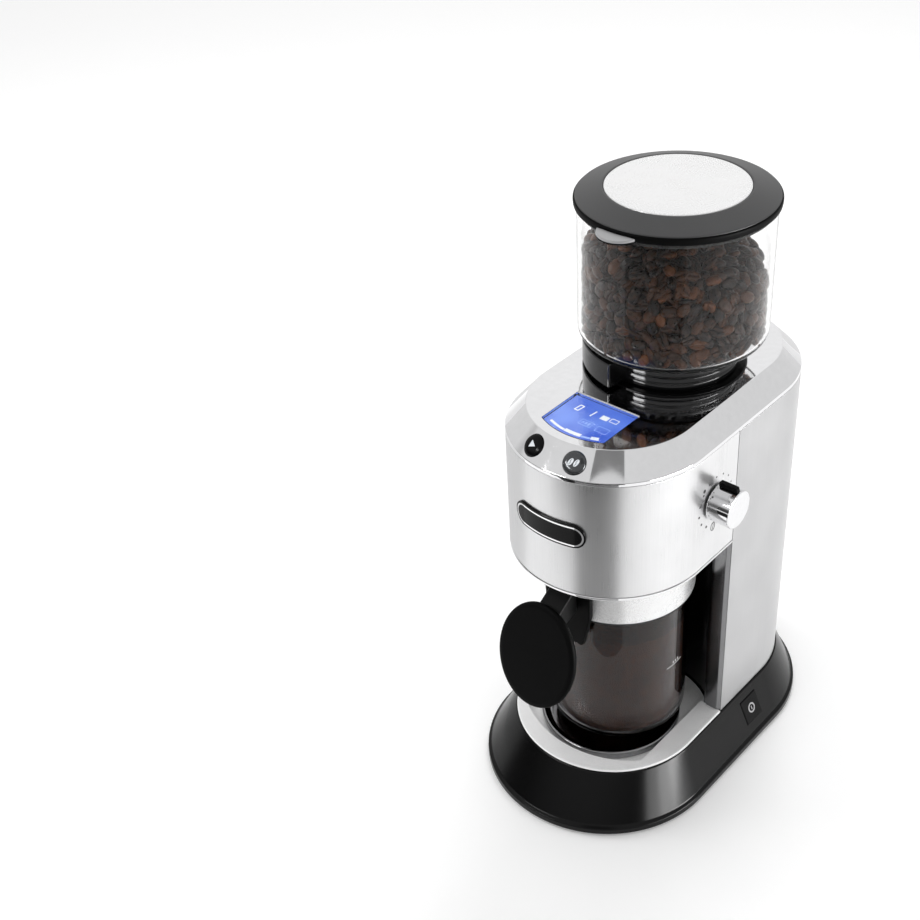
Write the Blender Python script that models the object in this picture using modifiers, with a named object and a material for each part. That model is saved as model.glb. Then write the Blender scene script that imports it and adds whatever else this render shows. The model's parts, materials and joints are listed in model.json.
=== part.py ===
"""A burr coffee grinder: a flared base, a steel column and head, a bean hopper on top and a jar below.

Metres, +Z up. The front faces -Y and the dial is on the +X side. The origin is on the table, under the
middle of the base. Every sub-part is its own object, and a moving one has its origin on its joint's axis.
"""

import math

import bmesh
import bpy
from mathutils import Matrix, Vector

UP = (0, 0, 1)
GAP = 0.0003  # between neighbouring solids
WALL = 0.0015  # sheet steel of the casing
ARC_STEPS = 16  # facets of each half circle of the casing's outline
BIG_STEPS = 40  # facets of a large turned piece
VESSEL_STEPS = 32  # facets of the bin and the jar
SMALL_STEPS = 20  # facets of a small turned piece

# The casing: its outline is a straight-sided oval, round at the front and the rear.
BODY_HALF = 0.0615
BODY_FRONT = -0.100
BODY_REAR = 0.110
SEAM_Y = -0.0015  # where the head's front shell meets the column
BASE_HALF = 0.0775
BASE_REACH = 0.124  # of the base's lower edge, before and behind the origin
BASE_BOTTOM = 0.0020
BASE_LEDGE = 0.0070
BASE_TOP = 0.0346
DECK_TOP = 0.0364
HEAD_BOTTOM = 0.1786
HEAD_TOP = 0.2567
LIP_HEIGHT = 0.0024
COVER_BOTTOM = HEAD_TOP + GAP
COVER_EDGE = 0.2590
COVER_TOP = 0.2724
PLATE_HALF = 0.0504
PLATE_FRONT = -0.0867
PLATE_REAR = 0.0967
PLATE_THICKNESS = 0.0022

# The jar's bay in the column, and the jar.
BAY_HALF = 0.0487
BAY_DEPTH = 0.0225
JAR_Y = -0.031
JAR_RADIUS = 0.044
JAR_BOTTOM = 0.038
JAR_RIM = 0.172
COLLAR_RADIUS = 0.0475
COLLAR_BOTTOM = 0.1405
COLLAR_TOP = 0.1754
TRAY_Y = -0.0385
TRAY_RADIUS = 0.0455
TRAY_WELL_CURVE = 0.0700  # of the front of the well that the tray lies in

# The upright axis that the hopper, burrs and large gear share, and the motor's axis behind it.
BURR_Y = 0.0197
TOOTH_MODULE = 0.0015
GEAR_TEETH = 48
PINION_TEETH = 12
MOTOR_Y = BURR_Y + TOOTH_MODULE * (GEAR_TEETH + PINION_TEETH) / 2
GEAR_BOTTOM = 0.1842
GEAR_TOP = 0.1900
BURR_BOTTOM = 0.2040

# The hopper.
BIN_RADIUS = 0.0553
BIN_BOTTOM = 0.2930
BIN_TOP = 0.3748
NECK_RADIUS = 0.0380  # inside the socket
NECK_COLLAR = 0.0390  # above it
GRIP_RADIUS = 0.0525
GRIP_START = 205  # of the neck's grip, in degrees from +X
GRIP_END = 262
LID_RADIUS = 0.0572
DISC_RADIUS = 0.0403
LID_TOP = 0.3830

# The grind dial, whose shaft turns the upper burr's ring through a worm.
DIAL_Y = -0.0235
DIAL_Z = 0.2210
DIAL_RADIUS = 0.0115
DIAL_END = 0.0770
RING_TEETH = 60
RING_TIP = 0.0388
RING_ROOT = 0.0360
WORM_PITCH = 2 * math.pi * 0.0376 / RING_TEETH
WORM_TIP = 0.0060
WORM_ROOT = 0.0040

# The controls.
BUTTON_SPREAD = 0.0140  # of each button from the middle
BUTTON_RADIUS = 0.0066
BUTTON_Z = 0.2655
SWITCH_Y = 0.0257
SWITCH_Z = 0.0213
SWITCH_SIDE = 0.0170
BADGE_HALF = 0.0250
BADGE_HEIGHT = 0.0066  # half of it
BADGE_Z = 0.2205

# name: (colour, metallic, roughness)
FINISHES = {
    "brushed_steel": ((0.72, 0.72, 0.72), 1.0, 0.32),
    "chrome": ((0.88, 0.88, 0.89), 1.0, 0.06),
    "satin_silver": ((0.80, 0.80, 0.80), 1.0, 0.25),
    "gloss_black": ((0.010, 0.010, 0.011), 0.0, 0.12),
    "satin_black": ((0.018, 0.018, 0.019), 0.0, 0.45),
    "dark_grey": ((0.075, 0.077, 0.080), 0.0, 0.35),
    "clear": ((0.92, 0.93, 0.93), 0.0, 0.04),
    "smoked": ((0.30, 0.29, 0.29), 0.0, 0.05),
    "display_blue": ((0.10, 0.25, 0.85), 0.0, 0.30),
    "hard_steel": ((0.45, 0.45, 0.46), 1.0, 0.35),
    "nylon": ((0.80, 0.78, 0.72), 0.0, 0.45),
    "zinc_plate": ((0.55, 0.56, 0.57), 1.0, 0.40),
    "motor_can": ((0.28, 0.29, 0.30), 1.0, 0.45),
    "board_green": ((0.02, 0.16, 0.07), 0.0, 0.50),
    "rubber": ((0.020, 0.020, 0.020), 0.0, 0.85),
}


def clear_scene():
    for obj in list(bpy.data.objects):
        bpy.data.objects.remove(obj, do_unlink=True)


def collection_named(name, hidden):
    collection = bpy.data.collections.new(name)
    collection.hide_render = hidden
    bpy.context.scene.collection.children.link(collection)
    return collection


def material_named(finish):
    if finish in bpy.data.materials:
        return bpy.data.materials[finish]
    colour, metallic, roughness = FINISHES[finish]
    material = bpy.data.materials.new(finish)
    material.use_nodes = True
    shader = material.node_tree.nodes["Principled BSDF"]
    shader.inputs["Base Color"].default_value = (*colour, 1)
    shader.inputs["Metallic"].default_value = metallic
    shader.inputs["Roughness"].default_value = roughness
    return material


def add_object(name, data, finish, location=(0, 0, 0), direction=UP):
    """Link a part, or a cutter when it has no finish, with its own Z along direction."""
    obj = bpy.data.objects.new(name, data)
    obj.location = location
    obj.rotation_euler = Vector(UP).rotation_difference(Vector(direction)).to_euler()
    if finish:
        data.materials.append(material_named(finish))
        PARTS.objects.link(obj)
    else:
        obj.hide_render = True
        obj.display_type = "WIRE"
        CUTTERS.objects.link(obj)
    return obj


def mesh_of(bm, name):
    bmesh.ops.recalc_face_normals(bm, faces=bm.faces)
    mesh = bpy.data.meshes.new(name)
    bm.to_mesh(mesh)
    bm.free()
    return mesh


def loft(name, finish, rings, loop=False, location=(0, 0, 0), direction=UP):
    """Skin a stack of outlines of equal length, capped, or joined back to the first when loop is set."""
    bm = bmesh.new()
    rows = [[bm.verts.new(point) for point in ring] for ring in rings]
    pairs = list(zip(rows, rows[1:]))
    if loop:
        pairs.append((rows[-1], rows[0]))
    for low, high in pairs:
        for i in range(len(low)):
            j = (i + 1) % len(low)
            bm.faces.new((low[i], low[j], high[j], high[i]))
    if not loop:
        bm.faces.new(reversed(rows[0]))
        bm.faces.new(rows[-1])
    return add_object(name, mesh_of(bm, name), finish, location, direction)


def turned(name, finish, profile, location=(0, 0, 0), direction=UP, steps=BIG_STEPS, ring=False):
    """Turn (radius, height) points, top to bottom down the outer side, about the object's Z."""
    edges = [(i, i + 1) for i in range(len(profile) - 1)]
    if ring:
        edges.append((len(profile) - 1, 0))
    mesh = bpy.data.meshes.new(name)
    mesh.from_pydata([(radius, 0, height) for radius, height in profile], edges, [])
    obj = add_object(name, mesh, finish, location, direction)
    screw = obj.modifiers.new("Turn", "SCREW")
    screw.steps = steps
    screw.render_steps = steps
    screw.use_merge_vertices = True
    screw.merge_threshold = 0.00001
    return obj


def washer(name, finish, inner, outer, bottom, top, location=(0, 0, 0), direction=UP, steps=BIG_STEPS):
    profile = [(outer, top), (outer, bottom), (inner, bottom), (inner, top)]
    return turned(name, finish, profile, location, direction, steps, ring=True)


def rod(name, finish, radius, bottom, top, location=(0, 0, 0), direction=UP, steps=SMALL_STEPS):
    profile = [(0, top), (radius, top), (radius, bottom), (0, bottom)]
    return turned(name, finish, profile, location, direction, steps)


def box(name, finish, low, high, bevel=0.0, location=(0, 0, 0), direction=UP):
    """A box between two corners, in the object's own axes."""
    bm = bmesh.new()
    bmesh.ops.create_cube(bm, size=1)
    size = Vector(high) - Vector(low)
    middle = (Vector(high) + Vector(low)) / 2
    place = Matrix.Translation(middle) @ Matrix.Diagonal((*size, 1))
    bmesh.ops.transform(bm, matrix=place, verts=bm.verts)
    obj = add_object(name, mesh_of(bm, name), finish, location, direction)
    if bevel:
        edge = obj.modifiers.new("Edge", "BEVEL")
        edge.width = bevel
        edge.segments = 2
    return obj


def extruded(name, finish, outlines, bottom, top, location=(0, 0, 0), direction=UP):
    """A flat outline, with any holes after it, given a thickness along the object's Z."""
    curve = bpy.data.curves.new(name, "CURVE")
    curve.dimensions = "2D"
    curve.fill_mode = "BOTH"
    curve.extrude = (top - bottom) / 2
    for outline in outlines:
        spline = curve.splines.new("POLY")
        spline.points.add(len(outline) - 1)
        for point, (x, y) in zip(spline.points, outline):
            point.co = (x, y, 0, 1)
        spline.use_cyclic_u = True
    axis = Vector(direction).normalized()
    place = Vector(location) + axis * (top + bottom) / 2
    return add_object(name, curve, finish, place, direction)


def as_mesh(obj):
    """Swap a curve for a mesh with welded caps, so that it can be cut."""
    bpy.context.view_layer.update()
    graph = bpy.context.evaluated_depsgraph_get()
    mesh = bpy.data.meshes.new_from_object(obj.evaluated_get(graph))
    bm = bmesh.new()
    bm.from_mesh(mesh)
    bmesh.ops.remove_doubles(bm, verts=bm.verts, dist=0.000001)
    bm.to_mesh(mesh)
    bm.free()
    solid = bpy.data.objects.new(obj.name + "_solid", mesh)
    solid.matrix_world = obj.matrix_world
    PARTS.objects.link(solid)
    name = obj.name
    bpy.data.objects.remove(obj, do_unlink=True)
    solid.name = name
    return solid


def combine(obj, other, operation):
    step = obj.modifiers.new(other.name, "BOOLEAN")
    step.operation = operation
    step.solver = "EXACT"
    step.object = other


def cut(obj, cutter):
    combine(obj, cutter, "DIFFERENCE")


def join(obj, other):
    combine(obj, other, "UNION")


def arc(radius, start, end, steps, centre=(0, 0)):
    """Points along an arc, with its angles in degrees."""
    points = []
    for i in range(steps + 1):
        angle = math.radians(start + (end - start) * i / steps)
        points.append((centre[0] + radius * math.cos(angle), centre[1] + radius * math.sin(angle)))
    return points


def oval(half, front, rear):
    front_arc = arc(half, 180, 360, ARC_STEPS, (0, front + half))
    return front_arc + arc(half, 0, 180, ARC_STEPS, (0, rear - half))


def level(outline, z):
    return [(x, y, z) for x, y in outline]


def oval_ring(half, front, rear, z):
    return level(oval(half, front, rear), z)


def round_front(half, front, back):
    """An outline with a round front and a straight back edge."""
    return arc(half, 180, 360, ARC_STEPS, (0, front + half)) + [(half, back), (-half, back)]


def front_wall(half, front, back, thickness):
    outer = [(-half, back)] + arc(half, 180, 360, ARC_STEPS, (0, front + half)) + [(half, back)]
    inner_half = half - thickness
    inner = arc(inner_half, 360, 180, ARC_STEPS, (0, front + half))
    return outer + [(inner_half, back)] + inner + [(-inner_half, back)]


def rear_wall(half, rear, front_edge, thickness):
    outer = [(half, front_edge)] + arc(half, 0, 180, ARC_STEPS, (0, rear - half)) + [(-half, front_edge)]
    inner_half = half - thickness
    inner = arc(inner_half, 180, 0, ARC_STEPS, (0, rear - half))
    return outer + [(-inner_half, front_edge)] + inner + [(inner_half, front_edge)]


def bay_curve(half, depth, start, end):
    """The bay's half-elliptical back, between two angles in degrees."""
    return [(half * x, SEAM_Y + depth * y) for x, y in arc(1, start, end, ARC_STEPS)]


def base_parts():
    """The flared skirt, its bottom cover with feet and screws, and the deck with its tray."""
    wall = 0.0022
    sections = [
        (BASE_HALF, BASE_REACH, BASE_REACH, BASE_BOTTOM),
        (BASE_HALF - 0.0002, BASE_REACH - 0.0002, BASE_REACH - 0.0002, BASE_LEDGE - 0.0012),
        (BASE_HALF - 0.0022, BASE_REACH - 0.0024, BASE_REACH - 0.0022, BASE_LEDGE),
        (BODY_HALF + 0.0008, 0.1008, BODY_REAR + 0.0008, BASE_TOP),
    ]
    outside = [oval_ring(half, -front, rear, z) for half, front, rear, z in sections]
    inside = [
        oval_ring(half - wall, wall - front, rear - wall, z)
        for half, front, rear, z in reversed(sections)
    ]
    skirt = loft("base_shell", "gloss_black", outside + inside, loop=True)
    cut(skirt, switch_box("switch_cutter", None, SWITCH_SIDE + 2 * GAP, -0.010, 0.006))
    inlet_place = (0, 0.1165, 0.0180)
    cut(skirt, rod("inlet_cutter", None, 0.0070, -0.010, 0.010, inlet_place, (0, 1, 0)))

    inlet = [(0.0060, 0.0069), (0.0066, 0.0050), (0.0066, -0.0080), (0.0036, -0.0080), (0.0036, 0.0069)]
    turned("cord_inlet", "satin_black", inlet, inlet_place, (0, 1, 0), SMALL_STEPS, ring=True)

    cover_half = BASE_HALF - wall - 0.0008
    cover_reach = BASE_REACH - wall - 0.0008
    cover_holes = [arc(0.0020, 0, 330, 11, (x, y)) for x, y in screw_places()]
    outline = oval(cover_half, -cover_reach, cover_reach)
    extruded("base_bottom_cover", "satin_black", [outline] + cover_holes, 0.0024, 0.0046)
    for i, (x, y) in enumerate(screw_places(), 1):
        screw = [
            (0, 0.0100), (0.0015, 0.0100), (0.0015, 0.0021), (0.0034, 0.0021), (0.0034, 0.0009), (0, 0.0009),
        ]
        turned(f"cover_screw_{i}", "hard_steel", screw, (x, y, 0), steps=12)
    for i, (x, y) in enumerate(foot_places(), 1):
        foot = [(0, 0.0021), (0.0085, 0.0021), (0.0085, 0.0008), (0.0077, 0), (0, 0)]
        turned(f"rubber_foot_{i}", "rubber", foot, (x, y, 0), steps=SMALL_STEPS)

    seat = SEAM_Y - 0.0009  # the rim's straight back edge
    edge = round_front(BODY_HALF + 0.0004, BODY_FRONT - 0.0004, seat)
    crown = round_front(BODY_HALF - 0.0006, BODY_FRONT + 0.0006, seat)
    layers = [level(edge, BASE_TOP + GAP), level(edge, DECK_TOP - 0.0006), level(crown, DECK_TOP)]
    rim = loft("base_deck", "chrome", layers)
    pan = [bay_floor(0.0488, 0.0478, -0.0900, z) for z in (0.0268, 0.0356)]
    join(rim, loft("deck_pan", None, pan))
    recess = [bay_floor(0.0462, 0.0490, -0.0873, 0.0288), bay_floor(0.0474, 0.0495, -0.0885, 0.0400)]
    cut(rim, loft("deck_recess", None, recess))

    bead = TRAY_RADIUS - 0.0012
    dish = [
        (0, 0.0312), (bead - 0.0030, 0.0312), (bead - 0.0016, 0.0335), (bead, 0.0344), (TRAY_RADIUS, 0.0335),
        (TRAY_RADIUS, 0.0292), (0, 0.0292),
    ]
    turned("crumb_tray", "chrome", dish, (0, TRAY_Y, 0))


def bay_floor(half, rear_half, front, z):
    """An outline with a shallow arc at the front, straight sides, and half an ellipse behind the seam."""
    reach = math.degrees(math.asin(half / TRAY_WELL_CURVE))
    shallow = arc(TRAY_WELL_CURVE, 270 - reach, 270 + reach, ARC_STEPS, (0, front + TRAY_WELL_CURVE))
    sides = [(half, SEAM_Y - 0.0013)]
    back = bay_curve(rear_half, BAY_DEPTH - 0.0010, 0, 180)
    return level(shallow + sides + back + [(-half, SEAM_Y - 0.0013)], z)


def screw_places():
    return [(0, -0.070), (0, 0.070)]


def foot_places():
    return [(x, y) for x in (-0.046, 0.046) for y in (-0.078, 0.078)]


def skirt_normal():
    """The outward normal of the skirt's right side."""
    run = BASE_HALF - 0.0022 - (BODY_HALF + 0.0008)
    return Vector((BASE_TOP - BASE_LEDGE, 0, run)).normalized()


def switch_place():
    share = (SWITCH_Z - BASE_LEDGE) / (BASE_TOP - BASE_LEDGE)
    x = BASE_HALF - 0.0022 + share * (BODY_HALF + 0.0008 - (BASE_HALF - 0.0022))
    return (x, SWITCH_Y, SWITCH_Z)


def switch_box(name, finish, side, bottom, top, bevel=0.0):
    """A square block along the skirt's normal, from bottom to top about its surface."""
    low = (-side / 2, -side / 2, bottom)
    high = (side / 2, side / 2, top)
    return box(name, finish, low, high, bevel, switch_place(), skirt_normal())


def column_parts():
    """The steel wrap of the column, the black bay at its front, and the strips at the bay's sides."""
    wrap = rear_wall(BODY_HALF, BODY_REAR, SEAM_Y + 0.0004, WALL)
    extruded("column_shell", "brushed_steel", [wrap], BASE_TOP + 2 * GAP, HEAD_TOP)

    outer = bay_curve(BAY_HALF + 0.0018, BAY_DEPTH + 0.0018, 0, 180)
    inner = bay_curve(BAY_HALF, BAY_DEPTH, 180, 0)
    extruded("column_front_panel", "gloss_black", [outer + inner], 0.0298, HEAD_BOTTOM - GAP)

    for side, name in ((-1, "column_trim_left"), (1, "column_trim_right")):
        inside = BAY_HALF + GAP
        outside = BODY_HALF - 0.0002
        strip = [
            (inside, SEAM_Y - GAP), (inside + 0.0030, SEAM_Y - 0.0020), (outside - 0.0020, SEAM_Y - 0.0020),
            (outside, SEAM_Y - 0.0002), (outside, SEAM_Y), (inside, SEAM_Y),
        ]
        outline = [(side * x, y) for x, y in strip]
        extruded(name, "chrome", [outline], DECK_TOP + GAP, HEAD_BOTTOM - LIP_HEIGHT - GAP)

    back_rest = arc(0.0482, 50, 130, 10, (0, JAR_Y)) + arc(JAR_RADIUS + 0.0006, 130, 50, 10, (0, JAR_Y))
    extruded("jar_rest", "satin_black", [back_rest], 0.1320, COLLAR_BOTTOM - 0.0018)


def head_parts():
    """The steel front of the head, its bright lower lip, its floor and the blank badge."""
    wall = front_wall(BODY_HALF, BODY_FRONT, SEAM_Y - GAP, WALL)
    shell = as_mesh(extruded("head_shell", "brushed_steel", [wall], HEAD_BOTTOM, HEAD_TOP))
    cut(shell, rod("dial_cutter", None, 0.0046, 0.050, 0.070, (0, DIAL_Y, DIAL_Z), (1, 0, 0)))

    lip = front_wall(BODY_HALF + 0.0002, BODY_FRONT - 0.0002, SEAM_Y - GAP, 0.0026)
    extruded("head_lip", "chrome", [lip], HEAD_BOTTOM - LIP_HEIGHT, HEAD_BOTTOM - GAP)

    floor_half = BODY_HALF - WALL - GAP
    front = arc(floor_half, 180, 360, ARC_STEPS, (0, BODY_FRONT + BODY_HALF))
    floor = front + bay_curve(0.0588, 0.0255, 0, 180)
    hole = arc(0.0150, 0, 345, 23, (0, JAR_Y))
    extruded("head_floor", "satin_black", [floor, hole], HEAD_BOTTOM + GAP, HEAD_BOTTOM + 0.0026)
    badge_plate()


def badge_plate():
    """The blank badge: a round-ended plate bent round the head's front, made of upright columns."""
    columns = 25
    proud = 0.0013
    centre_y = BODY_FRONT + BODY_HALF
    rings = []
    for i in range(columns):
        along = BADGE_HALF * math.cos(math.pi * i / (columns - 1))
        over = max(0, abs(along) - (BADGE_HALF - BADGE_HEIGHT))
        height = math.sqrt(max(0, BADGE_HEIGHT**2 - over**2)) + 0.0003
        angle = along / BODY_HALF
        ring = []
        for lift, up in ((GAP, -height), (proud, -height), (proud, height), (GAP, height)):
            distance = BODY_HALF + lift
            y = centre_y - distance * math.cos(angle)
            ring.append((distance * math.sin(angle), y, BADGE_Z + up))
        rings.append(ring)
    loft("badge", "gloss_black", rings)


def button_pose(side):
    """The place and outward direction of a button on the sloping front of the top cover."""
    share = (BUTTON_Z - COVER_EDGE) / (COVER_TOP - COVER_EDGE)
    radius = BODY_HALF + share * (PLATE_HALF - BODY_HALF)
    centre_y = BODY_FRONT + BODY_HALF + share * (PLATE_FRONT + PLATE_HALF - BODY_FRONT - BODY_HALF)
    turn = math.asin(side * BUTTON_SPREAD / radius)
    place = Vector((radius * math.sin(turn), centre_y - radius * math.cos(turn), BUTTON_Z))
    rise = COVER_TOP - COVER_EDGE
    run = PLATE_FRONT - BODY_FRONT
    outward = Vector((rise * math.sin(turn), -rise * math.cos(turn), run)).normalized()
    return place, outward


def top_parts():
    """The chrome top cover with its display, buttons and the black socket of the hopper."""
    cover = loft("top_cover", "chrome", [
        oval_ring(BODY_HALF, BODY_FRONT, BODY_REAR, COVER_BOTTOM),
        oval_ring(BODY_HALF, BODY_FRONT, BODY_REAR, COVER_EDGE),
        oval_ring(PLATE_HALF, PLATE_FRONT, PLATE_REAR, COVER_TOP),
    ])
    wall = 0.0024
    cut(cover, loft("cover_hollow", None, [
        oval_ring(BODY_HALF - wall, BODY_FRONT + wall, BODY_REAR - wall, COVER_BOTTOM - 0.001),
        oval_ring(BODY_HALF - wall, BODY_FRONT + wall, BODY_REAR - wall, COVER_EDGE - 0.0005),
        oval_ring(PLATE_HALF - wall, PLATE_FRONT + wall, PLATE_REAR - wall, COVER_TOP - PLATE_THICKNESS),
    ]))
    cut(cover, rod("socket_cutter", None, 0.0439, 0.250, 0.280, (0, BURR_Y, 0), steps=BIG_STEPS))
    window = display_outline(0.0215, -0.0435, 0.0445)
    opening = display_outline(0.0215 + GAP, -0.0435 + GAP, 0.0445 + GAP)
    module = display_outline(0.0190, -0.0465, 0.0426)
    cut(cover, loft("window_cutter", None, [level(opening, z) for z in (0.262, 0.280)]))
    extruded("display_window", "clear", [window], COVER_TOP - 0.0012, COVER_TOP + GAP / 2)
    extruded("display_module", "display_blue", [module], 0.2640, COVER_TOP - 0.0015)

    for side, name in ((-1, "start_button"), (1, "dose_button")):
        place, outward = button_pose(side)
        cut(cover, rod(name + "_cutter", None, BUTTON_RADIUS + GAP, -0.008, 0.008, place, outward))
        cap = [
            (0, 0.0016), (BUTTON_RADIUS - 0.0020, 0.0014), (BUTTON_RADIUS, 0.0006), (BUTTON_RADIUS, -0.0050),
            (0, -0.0050),
        ]
        turned(name, "gloss_black", cap, place, outward, SMALL_STEPS)

    socket = [
        (0.0436, COVER_TOP + 0.0010), (0.0436, 0.2400), (0.0325, 0.2400), (0.0325, 0.2424), (0.0386, 0.2424),
        (0.0386, COVER_TOP + 0.0010),
    ]
    turned("hopper_socket", "gloss_black", socket, (0, BURR_Y, 0), ring=True)


def display_outline(half, back, front_radius):
    """Straight at the back and the sides, and curved along the cover's edge at the front."""
    centre_y = PLATE_FRONT + PLATE_HALF
    reach = math.degrees(math.asin(half / front_radius))
    return arc(front_radius, 270 - reach, 270 + reach, 8, (0, centre_y)) + [(half, back), (-half, back)]


def hopper_parts():
    """The clear bin on its black neck, the ring that the neck turns, and the lid."""
    corner = [(BIN_RADIUS - 0.0055 + r, BIN_BOTTOM + 0.0055 + z) for r, z in arc(0.0055, 0, -90, 5)]
    bin_profile = [(BIN_RADIUS, BIN_TOP)] + corner + [
        (0.0366, BIN_BOTTOM), (0.0366, BIN_BOTTOM + 0.0022), (0.0480, BIN_BOTTOM + 0.0026),
        (BIN_RADIUS - 0.0024, BIN_BOTTOM + 0.0075), (BIN_RADIUS - 0.0020, BIN_TOP),
    ]
    turned("hopper_bin", "clear", bin_profile, (0, BURR_Y, 0), steps=VESSEL_STEPS, ring=True)

    inside = 0.0353
    neck = [(NECK_COLLAR, BIN_BOTTOM - GAP)]
    for groove in (0.2870, 0.2820, 0.2780):
        neck.append((NECK_COLLAR, groove + 0.0008))
        neck.append((NECK_COLLAR - 0.0008, groove))
        neck.append((NECK_COLLAR, groove - 0.0008))
    neck += [
        (NECK_COLLAR, COVER_TOP + 0.0020), (NECK_RADIUS, COVER_TOP + 0.0014), (NECK_RADIUS, 0.2480),
        (inside, 0.2480), (inside, BIN_BOTTOM - GAP),
    ]
    collar = turned("hopper_neck", "gloss_black", neck, (0, BURR_Y, 0), ring=True)
    sector = arc(GRIP_RADIUS, GRIP_START, GRIP_END, 6) + arc(NECK_COLLAR - 0.0015, GRIP_END, GRIP_START, 6)
    rings = [level(sector, z) for z in (0.2748, 0.2900)]
    join(collar, loft("neck_grip", None, rings, location=(0, BURR_Y, 0)))

    washer("hopper_lock_ring", "satin_black", 0.0330, 0.0382, 0.2428, 0.2476, (0, BURR_Y, 0))

    lid_parts()


def lid_parts():
    """The lid with its thumb tab, the silver disc let into it, and its seal."""
    rim = LID_RADIUS
    flange = BIN_RADIUS + 0.0004
    lid = [
        (0, 0.3796), (DISC_RADIUS + GAP, 0.3796), (DISC_RADIUS + GAP, LID_TOP - 0.0002),
        (DISC_RADIUS + 0.0012, LID_TOP), (rim - 0.0016, 0.3784), (rim - 0.0003, 0.3774), (rim, 0.3762),
        (rim - 0.0004, 0.3738), (rim - 0.0012, 0.3730), (flange, 0.3730), (flange, BIN_TOP + GAP),
        (0.0505, BIN_TOP + GAP), (0.0505, 0.3688), (0.0485, 0.3688), (0.0485, 0.3762), (0, 0.3768),
    ]
    cap = turned("hopper_lid", "dark_grey", lid, (0, BURR_Y, 0))
    curve = [(-0.0125, 0), (-0.0100, -0.0050), (-0.0050, -0.0084), (0, -0.0094)]
    curve += [(-x, y) for x, y in reversed(curve[:-1])]
    tab = [(x, y + 0.0012 - rim) for x, y in curve]
    join(cap, loft("lid_tab", None, [level(tab, z) for z in (0.3732, 0.3758)], location=(0, BURR_Y, 0)))

    disc = [
        (0, 0.3812), (0.0200, 0.3814), (0.0340, 0.3822), (DISC_RADIUS - 0.0008, 0.3832),
        (DISC_RADIUS, 0.3828), (DISC_RADIUS, 0.3799), (0, 0.3799),
    ]
    turned("lid_disc", "satin_silver", disc, (0, BURR_Y, 0))
    washer("lid_seal", "rubber", 0.0508, 0.0529, 0.3702, 0.3742, (0, BURR_Y, 0))


def jar_parts():
    """The jar for the ground coffee, its silver collar and seal, and the paddle handle."""
    corner = [(JAR_RADIUS - 0.007 + r, JAR_BOTTOM + 0.007 + z) for r, z in arc(0.007, 0, -90, 5)]
    inner = JAR_RADIUS - 0.0022
    inside = [(0, JAR_BOTTOM + 0.0032), (inner, JAR_BOTTOM + 0.0032), (inner, JAR_RIM)]
    outside = [(JAR_RADIUS, JAR_RIM)] + corner + [(0, JAR_BOTTOM)]
    turned("jar_glass", "smoked", inside + outside, (0, JAR_Y, 0), steps=VESSEL_STEPS)

    bore = JAR_RADIUS + GAP
    mouth = 0.0400
    collar = [
        (mouth, COLLAR_TOP), (COLLAR_RADIUS - 0.0012, COLLAR_TOP), (COLLAR_RADIUS, COLLAR_TOP - 0.0012),
        (COLLAR_RADIUS, COLLAR_BOTTOM + 0.0004), (COLLAR_RADIUS - 0.0004, COLLAR_BOTTOM),
        (bore, COLLAR_BOTTOM), (bore, JAR_RIM + GAP), (mouth, JAR_RIM + GAP),
    ]
    turned("jar_collar", "satin_silver", collar, (0, JAR_Y, 0), steps=VESSEL_STEPS, ring=True)
    seal_top = COLLAR_BOTTOM - GAP
    washer("jar_seal", "rubber", bore, COLLAR_RADIUS - 0.0004, seal_top - 0.0012, seal_top, (0, JAR_Y, 0))
    handle_parts()


def handle_parts():
    """The bracket on the collar, the arm in front of it, and the tilted oval paddle."""
    front = JAR_Y - COLLAR_RADIUS
    bracket = [
        (-0.0110, 0.1230), (0.0110, 0.1230), (0.0165, 0.1480), (0.0165, 0.1690), (-0.0165, 0.1690),
        (-0.0165, 0.1480),
    ]
    rings = [[(x, y, z) for x, z in bracket] for y in (front - 0.0040, front - GAP)]
    loft("jar_handle_bracket", "satin_black", rings)
    arm_back = front - 0.0043
    side = [(arm_back, 0.1690), (arm_back, 0.1500), (front - 0.0215, 0.1440), (front - 0.0227, 0.1580)]
    rings = [[(x, y, z) for y, z in side] for x in (-0.0080, 0.0080)]
    loft("jar_handle_arm", "dark_grey", rings)

    tilt = 0.28
    width, height = 0.0280, 0.0341
    rings = []
    for shrink, depth in ((0.0012, 0.0), (0.0, -0.0012), (0.0, -0.0036), (0.0016, -0.0048)):
        outline = [((width - shrink) * x, (height - shrink) * y) for x, y in arc(1, 0, 350, 35)]
        rings.append(level(outline, depth))
    face = Vector((0, -math.cos(tilt), math.sin(tilt)))
    loft("jar_handle_paddle", "satin_black", rings, location=(0, -0.1140, 0.1316), direction=face)


def gear_outline(teeth, module, offset):
    """Teeth with straight flanks, narrower than the gaps, from offset degrees."""
    pitch = 360 / teeth
    radius = module * teeth / 2
    outline = []
    for i in range(teeth):
        middle = math.radians(offset + i * pitch)
        for share, reach in ((-0.29, -1.2), (-0.12, 0.85), (0.12, 0.85), (0.29, -1.2)):
            angle = middle + math.radians(share * pitch)
            distance = radius + reach * module
            outline.append((distance * math.cos(angle), distance * math.sin(angle)))
    return outline


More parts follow.
